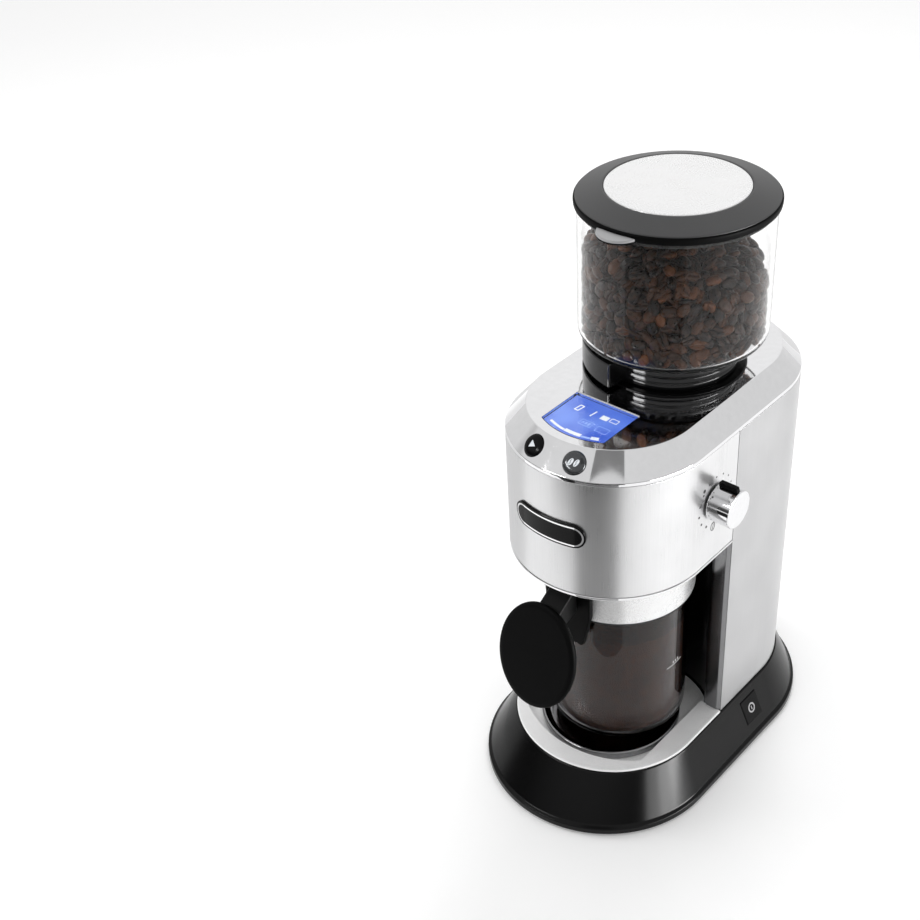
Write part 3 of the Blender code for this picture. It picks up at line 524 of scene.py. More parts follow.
def base_pieces():
    wall = 0.0022
    outside = [
        (BASE_HALF, -BASE_REACH, BASE_REACH, BASE_BOTTOM),
        (BASE_HALF - 0.0002, 0.0002 - BASE_REACH, BASE_REACH - 0.0002, BASE_LEDGE - 0.0012),
        (BASE_HALF - 0.0022, 0.0024 - BASE_REACH, BASE_REACH - 0.0022, BASE_LEDGE),
        (BODY_HALF + 0.0008, BODY_FRONT - 0.0008, BODY_REAR + 0.0008, BASE_TOP),
    ]
    inside = [(half - wall, front + wall, rear - wall, z) for half, front, rear, z in reversed(outside)]
    radii = [0.0006, 0.0008, 0.0008, 0.0012, 0.0003, 0, 0, 0]
    skirt = loft(ovals(rounded(outside + inside, radii, closed=True)), loop=True)
    half = 0.0085 + GAP
    hole = placed(block((-half, -half, -0.012), (half, half, 0.008)), SWITCH_PLACE, SWITCH_OUT)
    bore = plug(0.0070, -0.01, 0.01, INLET, (0, 1, 0))
    piece("skirt", carved(skirt, [hole, bore]), "skirt_black", "root", "base_shell")

    seat = SEAM_Y - 0.0009
    edge = round_front(BODY_HALF + 0.0004, BODY_FRONT - 0.0004, seat)
    ease = round_front(BODY_HALF + 0.0001, BODY_FRONT - 0.0001, seat)
    crown = round_front(BODY_HALF - 0.0006, BODY_FRONT + 0.0006, seat)
    rim = loft([
        level(edge, BASE_TOP + GAP), level(edge, DECK_TOP - 0.0010), level(ease, DECK_TOP - 0.0003),
        level(crown, DECK_TOP),
    ])
    well_bottom, well_floor, well_top = 0.0268, 0.0288, 0.0400
    pan = bay_floor(0.0488, 0.0478, -0.0900)
    rim = carved(rim, [drawn(pan, well_bottom, 0.0356)], "UNION")
    narrow, wide = bay_floor(0.0462, 0.0490, -0.0873), bay_floor(0.0474, 0.0495, -0.0885)
    rim = carved(rim, [loft([level(narrow, well_floor), level(wide, well_top)])])
    piece("deck", rim, "deck_silver", "root", "base_deck", bevel=0.0006)

    tray_radius, tray_bottom = high("crumb_tray").x, 0.0292
    dish_floor, bead = tray_bottom + 0.0020, tray_radius - 0.0012
    dish = [
        (0, dish_floor), (bead - 0.0034, dish_floor), (bead - 0.0016, 0.0335), (bead, 0.0344),
        (tray_radius, 0.0335), (tray_radius, tray_bottom), (0, tray_bottom),
    ]
    profile = rounded(dish, [0, 0.0020, 0.0010, 0.0010, 0.0006, 0.0004, 0])
    # The tray's chrome is painted dark, a painted reflection of the black bay.
    piece("tray", turned(profile, (0, middle("crumb_tray").y, 0)), "tray_chrome_painted_dark", "root", "crumb_tray")

    gland = [(0.0060, 0.0069), (0.0066, 0.0050), (0.0066, -0.0080), (0.0036, -0.0080), (0.0036, 0.0069)]
    inlet = hoop(gland, [0.0003, 0.0006, 0.0002, 0.0003, 0.0008], INLET, (0, 1, 0), FINE)
    piece("inlet", inlet, "satin_black", "root", "cord_inlet")

    print_bottom, print_top = 0.00062, 0.0007
    line = [(0.0024, print_top), (0.0034, print_top), (0.0034, print_bottom), (0.0024, print_bottom)]
    piece("switch_symbol", hoop(line, 0, SWITCH_PLACE, SWITCH_OUT, FINE), "print_grey", "power_switch")
    bar = block((-0.0013, -0.00035, print_bottom), (0.0013, 0.00035, print_top))
    piece("switch_bar", placed(bar, SWITCH_PLACE, SWITCH_OUT), "print_grey", "power_switch")


SWITCH_OUT = -Vector(JOINTS["power_press"]["axis"])
SWITCH_PLACE = middle("power_switch") + SWITCH_OUT * 0.0027  # the middle of the switch's face
INLET = (0, 0.1165, middle("cord_inlet").z)


# The column and the head.


def column_pieces():
    wrap = rear_wall(BODY_HALF, BODY_REAR, low("column_shell").y, 0.0015)
    column = drawn(wrap, low("column_shell").z, HEAD_TOP)
    piece("column", column, "column_steel", "root", "column_shell", bevel=0.0003)

    half, depth = 0.0487, 0.0225
    bay = bay_curve(half + 0.0018, depth + 0.0018, 0, 180) + bay_curve(half, depth, 180, 0)
    wall = drawn(bay, low("column_front_panel").z, high("column_front_panel").z)
    piece("bay", wall, "gloss_black", "root", "column_front_panel")


def head_pieces():
    wall = front_wall(BODY_HALF, BODY_FRONT, SEAM_Y - GAP, 0.0015)
    hole = plug(0.0046, 0.05, 0.07, (0, DIAL_Y, DIAL_Z), (1, 0, 0))
    shell = carved(drawn(wall, HEAD_BOTTOM, HEAD_TOP), [hole])
    piece("head", shell, "brushed_steel", "root", "head_shell", bevel=0.0002)

    bottom, top = low("head_lip").z, high("head_lip").z
    rings = []
    lip = (
        (0.0007, bottom), (0.0002, bottom + 0.0003), (0, bottom + 0.0008), (0, top - 0.0003), (0.0002, top),
    )
    for inset, z in lip:
        reach = 0.0002 - inset
        outline = front_wall(BODY_HALF + reach, BODY_FRONT - reach, SEAM_Y - GAP, 0.0026 - inset)
        rings.append(level(outline, z))
    piece("lip", loft(rings), "chrome", "root", "head_lip")

    floor_half = BODY_HALF - 0.0018
    floor = arc(floor_half, 180, 360, ARC, (0, BODY_FRONT + BODY_HALF)) + bay_curve(0.0588, 0.0255, 0, 180)
    hole = plug(0.0150, 0.17, 0.19, (0, JAR_Y, 0))
    under = carved(drawn(floor, low("head_floor").z, high("head_floor").z), [hole])
    piece("head_under", under, "satin_black", "root", "head_floor", bevel=0.0004)


def on_front(x, z, lift):
    """A point of a flat drawing wrapped round the head's front."""
    radius = BODY_HALF + lift
    angle = x / BODY_HALF
    return (radius * math.sin(angle), BODY_FRONT + BODY_HALF - radius * math.cos(angle), z)


def stadium(half, height, steps=40):
    """A round-ended outline, with points along its straight sides too, so that it can be wrapped."""
    straight = half - height
    right = arc(height, -90, 90, 24, (straight, 0))
    left = arc(height, 90, 270, 24, (-straight, 0))
    top = [(straight - 2 * straight * i / steps, height) for i in range(1, steps)]
    return right + top + left + [(-x, -z) for x, z in top]


def badge_pieces():
    half, height, z = 0.0250, 0.0078, middle("badge").z
    edge, face = 0.0009, 0.0012  # how far the plate's side and its front stand off the head
    columns, rings = 96, []
    for i in range(columns + 1):
        along = half * math.cos(math.pi * i / columns)
        over = max(0, abs(along) - (half - height))
        tall = math.sqrt(max(0, height**2 - over**2)) + 0.0002
        ease = min(0.0003, tall / 3)
        upper = [(face, tall - ease), (edge, tall), (GAP, tall)]
        rows = [(lift, -up) for lift, up in reversed(upper)] + upper
        rings.append([on_front(along, z + up, lift) for lift, up in rows])
    piece("badge_plate", loft(rings), "gloss_black", "root", "badge")
    outer, inner = stadium(half - 0.0011, height - 0.0011), stadium(half - 0.0021, height - 0.0021)
    rows = [(outer, face - 0.0001), (outer, face + 0.00008), (inner, face + 0.00008), (inner, face - 0.0001)]
    rings = [[on_front(x, z + up, lift) for x, up in outline] for outline, lift in rows]
    piece("badge_line", loft(rings, loop=True), "chrome", "root")


# The top cover and its controls.


def display_outline(half, back, radius):
    """The display's shape seen from above, its front round the same centre as the cover's."""
    centre = PLATE_FRONT + PLATE_HALF
    reach = math.degrees(math.asin(half / radius))
    return arc(radius, 270 - reach, 270 + reach, 24, (0, centre)) + [(half, back), (-half, back)]


def button_pose(name):
    """The place on the cover's slope of a button, and its outward direction."""
    outward = -Vector(JOINTS[name]["axis"]).normalized()
    side = -1 if name == "start_press" else 1
    share = (BUTTON_Z - COVER_EDGE) / (COVER_TOP - COVER_EDGE)
    radius = BODY_HALF + share * (PLATE_HALF - BODY_HALF)
    centre = BODY_FRONT + BODY_HALF + share * (PLATE_FRONT + PLATE_HALF - BODY_FRONT - BODY_HALF)
    turn = math.asin(side * BUTTON_SIDE / radius)
    return Vector((radius * math.sin(turn), centre - radius * math.cos(turn), BUTTON_Z)), outward


def facing(mesh, place, outward):
    """Set a drawing, whose X runs to the right and Y up, on a surface that faces outward."""
    right = Vector(UP).cross(outward).normalized()
    up = outward.cross(right)
    turn = Matrix((right, up, outward)).transposed().to_4x4()
    mesh.transform(Matrix.Translation(place) @ turn)
    return mesh


def cover_pieces():
    rows = [
        (BODY_HALF, BODY_FRONT, BODY_REAR, COVER_BOTTOM), (BODY_HALF, BODY_FRONT, BODY_REAR, COVER_EDGE),
        (PLATE_HALF, PLATE_FRONT, PLATE_REAR, COVER_TOP), (0.0460, -0.0823, 0.0923, COVER_TOP),
    ]
    rows = rounded(rows, [0, 0.0006, 0.0007, 0])
    outer = loft(ovals(rows))
    wall = 0.0024
    inner = [
        (BODY_HALF - wall, BODY_FRONT + wall, BODY_REAR - wall, COVER_BOTTOM - 0.001),
        (BODY_HALF - wall, BODY_FRONT + wall, BODY_REAR - wall, COVER_EDGE - 0.0005),
        (PLATE_HALF - wall, PLATE_FRONT + wall, PLATE_REAR - wall, COVER_TOP - 0.0022),
    ]
    cutters = [
        loft(ovals(inner)), plug(SOCKET_BORE, 0.25, 0.28, (0, BURR_Y, 0), steps=ROUND),
        drawn(display_outline(0.0218, -0.0432, 0.0448), 0.262, 0.280),
    ]
    for name in ("start_press", "dose_press"):
        cutters.append(plug(0.0069, -0.008, 0.008, *button_pose(name)))
    piece("cover", carved(outer, cutters), "chrome", "root", "top_cover")

    outline = display_outline(0.0215, -0.0435, 0.0445)
    window = drawn(outline, low("display_window").z, high("display_window").z)
    piece("display_glass", window, "window", "root", "display_window", bevel=0.0001)
    top = high("display_module").z
    panel = drawn(display_outline(0.0205, -0.0445, 0.0436), low("display_module").z, top)
    piece("display_panel", panel, "lcd_blue", "root", "display_module")
    display_marks(top + 0.00005)

    # A light grey strip along the display's back edge, where the bezel is: a painted highlight for the bright line
    # of the window's edge.
    half, bottom, top = 0.0216, COVER_TOP - 0.0004, COVER_TOP + 0.0005
    strip = rounded([(-half, bottom), (-half, top), (half, top), (half, bottom)], 0.0002, closed=True)
    rings = [[(x, y, z) for x, z in strip] for y in (-0.0434, -0.0426)]
    piece("display_edge_painted_highlight", loft(rings), "print_light", "root")

    socket = [
        (0.0436, COVER_TOP + 0.0010), (0.0436, 0.2400), (0.0325, 0.2400), (0.0325, 0.2424), (0.0386, 0.2424),
        (0.0386, COVER_TOP + 0.0010),
    ]
    lining = hoop(socket, [0.0006, 0.0003, 0.0003, 0.0003, 0.0003, 0.0006], (0, BURR_Y, 0))
    piece("socket", lining, "gloss_black", "root", "hopper_socket")


def display_marks(z):
    """Generic digits, boxes and bars of the lit display."""
    top = z + 0.0001

    def frame_of(x, y, half, tall, line, slant=0.0):
        outer = [(-half, -tall), (half, -tall), (half, tall), (-half, tall)]
        inner = [(px * (half - line) / half, py * (tall - line) / tall) for px, py in outer]
        rows = [(outer, z), (outer, top), (inner, top), (inner, z)]
        return loft([[(x + px + slant * py, y + py, up) for px, py in rounded(outline, 0.0005, True)]
                     for outline, up in rows], loop=True)

    def bar(x, y, half, tall, slant=0.0):
        corners = [(-half, -tall), (half, -tall), (half, tall), (-half, tall)]
        return drawn([(x + px + slant * py, y + py) for px, py in corners], z, top)

    piece("digit_zero", frame_of(-0.0113, -0.0543, 0.0016, 0.0030, 0.0007, 0.12), "lcd_white", "root")
    piece("digit_one", bar(-0.0012, -0.0546, 0.0004, 0.0029, 0.12), "lcd_white", "root")
    piece("icon_full", bar(0.0066, -0.0545, 0.0024, 0.0020), "lcd_white", "root")
    piece("icon_cup", frame_of(0.0128, -0.0540, 0.0026, 0.0019, 0.0004), "lcd_white", "root")
    piece("icon_left", frame_of(0.0012, -0.0645, 0.0041, 0.0026, 0.0003), "lcd_pale", "root")
    for i in range(3):
        level_box = bar(-0.0008 + 0.0020 * i, -0.0645, 0.0006, 0.0008 + 0.0003 * i)
        piece(f"icon_left_bar_{i + 1}", level_box, "lcd_pale", "root")
    piece("icon_right", frame_of(0.0126, -0.0650, 0.0040, 0.0026, 0.0003), "lcd_pale", "root")
    centre = (0, PLATE_FRONT + PLATE_HALF)
    arcs = (
        (246, 263, 0.0398, "lcd_white"), (263.5, 279, 0.0388, "lcd_white"),
        (279.5, 287, 0.0398, "lcd_pale"), (287.5, 294, 0.0388, "lcd_white"),
    )
    for i, (start, end, inner, finish) in enumerate(arcs, 1):
        outline = arc(0.0414, start, end, 12, centre) + arc(inner, end, start, 12, centre)
        piece(f"level_bar_{i}", drawn(outline, z, top), finish, "root")


def control_pieces():
    radius, dome, skirt = 0.0066, 0.0016, -0.0050
    cap = [(0, dome), (radius - 0.0022, 0.0014), (radius, 0.0006), (radius, skirt), (0, skirt)]
    profile = rounded(cap, [0, 0.0012, 0.0008, 0.0002, 0])
    for name, finish in (("start", "gloss_black"), ("dose", "button_grey")):
        body = f"{name}_button"
        button = turned(profile, *button_pose(f"{name}_press"), FINE)
        piece(f"{body}_cap", button, finish, body, body)

    def icon(name, outline, bottom, top, finish, button):
        """A flat drawing on a button's dome."""
        mesh = facing(drawn(outline, bottom, top), *button_pose(f"{button}_press"))
        piece(name, mesh, finish, f"{button}_button")

    icon_bottom, icon_top = 0.0013, 0.00172
    triangle = rounded([(-0.0016, -0.0022), (0.0024, 0), (-0.0016, 0.0022)], 0.0003, True)
    icon("start_icon", triangle, icon_bottom, icon_top, "icon_white", "start")
    wave = [(-0.0001, -0.0017), (0.0003, -0.0006), (-0.0002, 0.0006), (0.0002, 0.0017)]
    wave += [(-0.0001, 0.0017), (-0.0005, 0.0006), (0.0, -0.0006), (-0.0004, -0.0017)]
    half, tall, lean = 0.0013, 0.0021, 0.35
    for i, x in enumerate((-0.0017, 0.0017), 1):
        bean = [(x + half * px + lean * tall * py, tall * py) for px, py in arc(1, 0, 350, 35)]
        icon(f"dose_icon_{i}", bean, icon_bottom, icon_top, "icon_white", "dose")
        crease = [(x + px + lean * py, py) for px, py in wave]
        icon(f"dose_crease_{i}", crease, 0.00165, 0.00176, "button_grey", "dose")


def dial_pieces():
    skirt, shank = 0.0625, 0.0700  # where the knob starts, and how deep its hollow is
    knob = [
        (0, DIAL_END), (DIAL_RADIUS, DIAL_END), (DIAL_RADIUS, skirt), (0.0038, skirt), (0.0038, shank),
        (0, shank),
    ]
    profile = rounded(knob, [0, 0.0008, 0.0006, 0.0002, 0, 0], steps=6)
    piece("knob", turned(profile, (0, DIAL_Y, DIAL_Z), (1, 0, 0)), "chrome", "dial", "grind_knob")

    sunk, proud = -0.0001, 0.00008  # of the print on the head's side
    dot = arc(1, 0, 345, 23)
    egg = arc(1, 0, 350, 35)

    def on_side(outline, y, z, lift):
        """A flat drawing on the head's side, whose X runs to the front."""
        return [(BODY_HALF + lift, y - px, z + py) for px, py in outline]

    def dial_dot(name, turn, reach, size):
        """A dot, turned so far from the top about the dial."""
        angle = math.radians(turn)
        y, z = DIAL_Y - reach * math.sin(angle), DIAL_Z + reach * math.cos(angle)
        outline = [(size * px, size * py) for px, py in dot]
        rings = [on_side(outline, y, z, lift) for lift in (sunk, proud)]
        piece(name, loft(rings), "print_dark", "root")

    for i in range(13):
        dial_dot(f"dial_dot_{i + 1}", -150 + 25 * i, 0.0163, 0.00035 + 0.00004 * i)
    dial_dot("dial_fine_mark", 42, 0.0178, 0.0012)

    y, z = DIAL_Y - 0.0012, DIAL_Z - 0.0180
    outer = [(0.0022 * px, 0.0030 * py) for px, py in egg]
    inner = [(0.0017 * px, 0.0025 * py) for px, py in egg]
    rings = [on_side(outline, y, z, lift) for outline, lift in
             ((outer, sunk), (outer, proud), (inner, proud), (inner, sunk))]
    piece("dial_coarse_mark", loft(rings, loop=True), "print_dark", "root")
    crease = [(-0.0002, -0.0024), (0.0004, -0.0008), (-0.0003, 0.0008), (0.0002, 0.0024)]
    crease += [(-0.0001, 0.0024), (-0.0007, 0.0008), (0.0, -0.0008), (-0.0005, -0.0024)]
    rings = [on_side(crease, y, z, lift) for lift in (sunk, proud)]
    piece("dial_coarse_crease", loft(rings), "print_dark", "root")


# The hopper with its beans, and the lid.


def hopper_pieces():
    centre = (0, BURR_Y, 0)
    bore, floor = 0.0366, BIN_BOTTOM + BIN_WALL
    outline = [
        (BIN_RADIUS, BIN_TOP), (BIN_RADIUS, BIN_BOTTOM), (bore, BIN_BOTTOM), (bore, floor),
        (BIN_RADIUS - 0.0021, floor), (BIN_RADIUS - 0.0020, BIN_TOP),
    ]
    shell = hoop(outline, [0.0003, 0.0060, 0.0003, 0.0003, 0.0042, 0.0003], centre, ease=10)
    piece("bin", shell, "clear", "hopper", "hopper_bin")

    top, inside = BIN_BOTTOM - GAP, 0.0353
    neck = [(NECK_COLLAR, top)]
    for z in GROOVES:
        neck += [(NECK_COLLAR, z + 0.0008), (NECK_COLLAR - 0.0008, z), (NECK_COLLAR, z - 0.0008)]
    neck += [
        (NECK_COLLAR, COVER_TOP + 0.0020), (NECK_RADIUS, COVER_TOP + 0.0014), (NECK_RADIUS, NECK_BOTTOM),
        (inside, NECK_BOTTOM), (inside, top),
    ]
    collar = hoop(neck, [0.0004] + [0.0003] * (len(neck) - 1), centre, ease=3)
    rings = []
    for z, inset in ((0.2748, 0.0006), (0.2754, 0), (0.2894, 0), (0.2900, 0.0006)):
        outer = GRIP_RADIUS - inset
        sector = arc(outer, GRIP_START, GRIP_END, 24) + arc(NECK_COLLAR - 0.0015, GRIP_END, GRIP_START, 24)
        radii = [0.0025] + [0] * 23 + [0.0025] + [0] * 25
        rings.append([(x, y + BURR_Y, z) for x, y in rounded(sector, radii, closed=True)])
    piece("neck", carved(collar, [loft(rings)], "UNION"), "neck_black", "hopper", "hopper_neck")

    ring = [(0.0382, 0.2476), (0.0382, 0.2428), (0.0330, 0.2428), (0.0330, 0.2476)]
    piece("lock_ring_band", hoop(ring, 0.0004, centre), "satin_black", "lock_ring", "hopper_lock_ring")


def lid_pieces():
    centre = (0, BURR_Y, 0)
    rim, flange = LID_RADIUS, BIN_RADIUS + 0.0004
    seat, shoulder, brim = 0.3796, 0.3783, 0.3734  # under the disc, at the lid's edge, and under it
    skirt, end = 0.0505, 0.3688  # the ring that goes into the bin
    lid = [
        (0, seat), (DISC_RADIUS + GAP, seat), (DISC_RADIUS + GAP, LID_TOP - 0.0002),
        (DISC_RADIUS + 0.0012, LID_TOP), (rim - 0.0010, shoulder), (rim - 0.0010, brim), (flange, brim),
        (flange, BIN_TOP + GAP), (skirt, BIN_TOP + GAP), (skirt, end), (skirt - 0.0020, end),
        (skirt - 0.0020, 0.3762), (0, 0.3768),
    ]
    radii = [0, 0.0002, 0.0003, 0.0008, 0.0006, 0.0002, 0.0002, 0.0002, 0.0002, 0.0004, 0.0004, 0.0010, 0]
    piece("lid_cap", turned(rounded(lid, radii), centre), "dark_grey", "lid", "hopper_lid")
    band = [
        (rim - 0.0009, 0.3778), (rim - 0.0001, 0.3772), (rim, 0.3758), (rim - 0.0003, 0.3736),
        (rim - 0.0012, brim - GAP), (flange, brim - GAP), (flange, brim - 0.0001),
        (rim - 0.0009, brim - 0.0001),
    ]
    edge = hoop(band, [0.0002, 0.0006, 0.0006, 0.0006, 0.0004, 0, 0, 0], centre)
    piece("lid_rim", edge, "satin_black", "lid")

    curve = [(-0.0125, 0), (-0.0100, -0.0050), (-0.0050, -0.0084), (0, -0.0094)]
    curve += [(-x, y) for x, y in reversed(curve[:-1])]
    curve = rounded(curve, [0, 0.004, 0.004, 0.004, 0.004, 0.004, 0], steps=5)
    tab = [(x, y + 0.0010 - rim + BURR_Y) for x, y in curve]
    # The tab's top is painted light grey, a painted sheen of the bright sky above it.
    piece("lid_tab", drawn(tab, 0.3742, 0.3758), "tab_grey_painted_sheen", "lid", bevel=0.0005)
    under = [(x, y + 0.0002) for x, y in tab]
    piece("lid_tab_under", drawn(under, 0.3732, 0.3741), "satin_black", "lid", bevel=0.0003)

    disc_bottom = seat + GAP
    disc = [
        (0, 0.3812), (0.0200, 0.3814), (0.0340, 0.3822), (DISC_RADIUS - 0.0010, 0.3832),
        (DISC_RADIUS, 0.3828), (DISC_RADIUS, disc_bottom), (0, disc_bottom),
    ]
    profile = rounded(disc, [0, 0.008, 0.006, 0.0006, 0.0003, 0.0003, 0], steps=6)
    piece("lid_plate", turned(profile, centre), "disc_silver", "lid", "lid_disc")


BEAN_LONG, BEAN_WIDE, BEAN_THICK = 0.0050, 0.0036, 0.0030  # half of each


def bean_shape(along=7):
    """Points and faces of one bean, long in X: domed on +Z, nearly flat on -Z with a crease."""
    section = [
        (1, 0), (0.85, 0.55), (0.5, 0.88), (0, 1), (-0.5, 0.88), (-0.85, 0.55), (-1, 0), (-0.8, -0.42),
        (-0.22, -0.58), (0, -0.08), (0.22, -0.58), (0.8, -0.42),
    ]
    around = len(section)
    points = [(BEAN_LONG, 0, 0)]
    for i in range(1, along):
        angle = math.pi * i / along
        reach = math.sin(angle) ** 0.8
        bend = 0.10 * math.sin(2 * angle)
        for y, z in section:
            sway = bend if abs(y) < 0.3 and z < 0 else 0
            across, up = BEAN_WIDE * (y + sway) * reach, BEAN_THICK * z * reach
            points.append((BEAN_LONG * math.cos(angle), across, up))
    points.append((-BEAN_LONG, 0, 0))
    last = len(points) - 1
    faces = [(0, 1 + j, 1 + (j + 1) % around) for j in range(around)]
    for i in range(along - 2):
        one, two = 1 + i * around, 1 + (i + 1) * around
        faces += [(one + j, two + j, two + (j + 1) % around, one + (j + 1) % around) for j in range(around)]
    start = 1 + (along - 2) * around
    faces += [(start + j, last, start + (j + 1) % around) for j in range(around)]
    return np.array(points), faces


def heap_height(x, y):
    """The top of the beans, from the hopper's axis: highest inside, and lower to the right and the rear."""
    edge = 0.3400 - 0.14 * x - 0.05 * y
    return edge + 0.0225 * (1 - (x**2 + y**2) / BIN_INSIDE**2)


def bean_places(rng):
    """(centre, outward direction, layer) of each bean: two layers on the wall and three on the heap's top."""
    floor = BIN_BOTTOM + 0.0026
    pitch, rise, step = 0.0074, 0.0058, 0.0070  # round the wall, up the wall, and over the top
    places = []
    for layer, inset in enumerate((0.0029, 0.0078)):
        reach = BIN_INSIDE - inset
        count = round(2 * math.pi * reach / pitch)
        row, z = 0, floor + 0.0022 + 0.0025 * layer
        while z < BIN_TOP:
            for i in range(count):
                angle = 2 * math.pi * (i + 0.5 * (row % 2) + rng.uniform(-0.25, 0.25)) / count
                outward = np.array([math.cos(angle), math.sin(angle), 0.0])
                spot = reach * outward + (0, 0, z + rng.uniform(-0.0014, 0.0014))
                if spot[2] < heap_height(spot[0], spot[1]) - 0.0030:
                    places.append((spot, outward, layer))
            row, z = row + 1, z + rise
    for layer, depth in enumerate((0.0022, 0.0062, 0.0105)):
        for i in range(-8, 9):
            for j in range(-9, 10):
                x = step * (i + 0.5 * (j % 2) + rng.uniform(-0.3, 0.3) + 0.3 * layer)
                y = step * (0.87 * j + rng.uniform(-0.3, 0.3) + 0.3 * layer)
                if math.hypot(x, y) < BIN_INSIDE - 0.0048:
                    z = heap_height(x, y) - depth + rng.uniform(-0.0013, 0.0013)
                    outward = np.array([0.4 * x / BIN_INSIDE, 0.4 * y / BIN_INSIDE, 1.0])
                    places.append((np.array([x, y, z]), outward, layer))
    return places


def bean_turn(outward, layer, rng):
    """A rotation that lays a bean on its surface, dome or crease outward, and more loosely further in."""
    loose = 0.32 if layer == 0 else 0.9
    out = outward + rng.normal(scale=loose, size=3)
    out /= np.linalg.norm(out)
    along = np.cross(out, rng.normal(size=3))
    along /= np.linalg.norm(along)
    side = -1 if rng.uniform() < 0.42 else 1
    return np.stack([along, side * np.cross(out, along), side * out], 1)


def bean_pieces():
    rng = np.random.default_rng(11)
    shape, faces = bean_shape()
    floor = BIN_BOTTOM + 0.0025
    points, all_faces, tones = [], [], []
    for spot, outward, layer in bean_places(rng):
        grown = (shape * rng.uniform(0.86, 1.08)) @ bean_turn(outward, layer, rng).T + spot
        far = np.hypot(grown[:, 0], grown[:, 1]).max()
        reach = math.hypot(spot[0], spot[1])
        if far > BIN_INSIDE:
            grown[:, :2] -= spot[:2] / reach * (far - BIN_INSIDE)
        grown[:, 2] += max(0, floor - grown[:, 2].min())
        all_faces.extend(tuple(len(points) + i for i in face) for face in faces)
        points.extend((grown + (0, BURR_Y, 0)).tolist())
        tones.extend([rng.beta(0.9, 4.2)] * len(shape))
    mesh = bpy.data.meshes.new("beans")
    mesh.from_pydata(points, [], all_faces)
    layer = mesh.attributes.new("tone", "FLOAT", "POINT")
    layer.data.foreach_set("value", np.array(tones, np.float32))
    piece("beans", mesh, "coffee_beans", "hopper", sharp=110)

    bottom = floor + 0.0004
    core = [
        (0, 0.3460), (0.0180, 0.3420), (0.0330, 0.3280), (0.0400, 0.3180), (0.0410, floor + 0.0060),
        (0.0370, bottom), (0, bottom),
    ]
    rows = rounded(core, [0, 0.006, 0.006, 0.004, 0.003, 0.001, 0], steps=6)
    piece("beans_core", turned(rows, (0, BURR_Y, 0), steps=96), "coffee_beans", "hopper")


# The jar and the ground coffee.


def jar_pieces():
    centre = (0, JAR_Y, 0)
    inner, inside_floor = JAR_RADIUS - JAR_WALL, JAR_BOTTOM + 0.0032
    outline = [
        (0, inside_floor), (inner - 0.0010, inside_floor), (inner, JAR_BOTTOM + 0.0100), (inner, JAR_RIM),
        (JAR_RADIUS, JAR_RIM), (JAR_RADIUS, JAR_BOTTOM), (0, JAR_BOTTOM),
    ]
    profile = rounded(outline, [0, 0.0062, 0.0030, 0.0004, 0.0004, 0.0070, 0], steps=8)
    piece("jar_wall", turned(profile, centre), "smoked", "jar", "jar_glass")

    bore, mouth = JAR_RADIUS + GAP, 0.0400
    collar = [
        (mouth, COLLAR_TOP), (COLLAR_RADIUS, COLLAR_TOP), (COLLAR_RADIUS, COLLAR_BOTTOM),
        (bore, COLLAR_BOTTOM), (bore, JAR_RIM + GAP), (mouth, JAR_RIM + GAP),
    ]
    band = hoop(collar, [0.0005, 0.0014, 0.0006, 0.0002, 0.0002, 0.0003], centre, ease=6)
    piece("jar_band", band, "disc_silver", "jar", "jar_collar")
    edge, bottom, top = COLLAR_RADIUS - 0.0004, low("jar_seal").z, high("jar_seal").z
    seal = [(edge, top), (edge, bottom), (bore, bottom), (bore, top)]
    piece("jar_gasket", hoop(seal, 0.0004, centre), "rubber", "jar", "jar_seal")

    width, height, tilt = 0.0280, 0.0341, 0.28
    rows = [  # inset from the outline, and depth from the face
        (0.0100, 0.0), (0.0030, 0.0), (0.0008, -0.0005), (0.0, -0.0016), (0.0, -0.0032), (0.0007, -0.0042),
        (0.0022, -0.0048), (0.0100, -0.0050),
    ]
    ellipse = arc(1, 0, 360 - 360 / 128, 127)
    rings = []
    for inset, depth in rounded(rows, 0.0007, steps=3):
        rings.append(level([((width - inset) * x, (height - inset) * y) for x, y in ellipse], depth))
    face = Vector((0, -math.cos(tilt), math.sin(tilt)))
    paddle = placed(loft(rings), (0, -0.1140, 0.1316), face)
    piece("paddle", paddle, "satin_black", "jar", "jar_handle_paddle")

    def on_jar(start, end, bottom, top, steps=16):
        """Print round the outside of the jar, between two angles and two heights."""
        rings = []
        for x, y in arc(1, start, end, steps):
            rows = ((sunk, bottom), (proud, bottom), (proud, top), (sunk, top))
            rings.append([((JAR_RADIUS + up) * x, JAR_Y + (JAR_RADIUS + up) * y, z) for up, z in rows])
        return loft(rings)

    sunk, proud = 0.00004, 0.00016
    piece("level_line", on_jar(-10, 9, 0.0898, 0.0902), "print_light", "jar")
    for i, start in enumerate((-3, 0, 3), 1):
        piece(f"level_tick_{i}", on_jar(start, start + 1.2, 0.0914, 0.0930), "print_light", "jar")


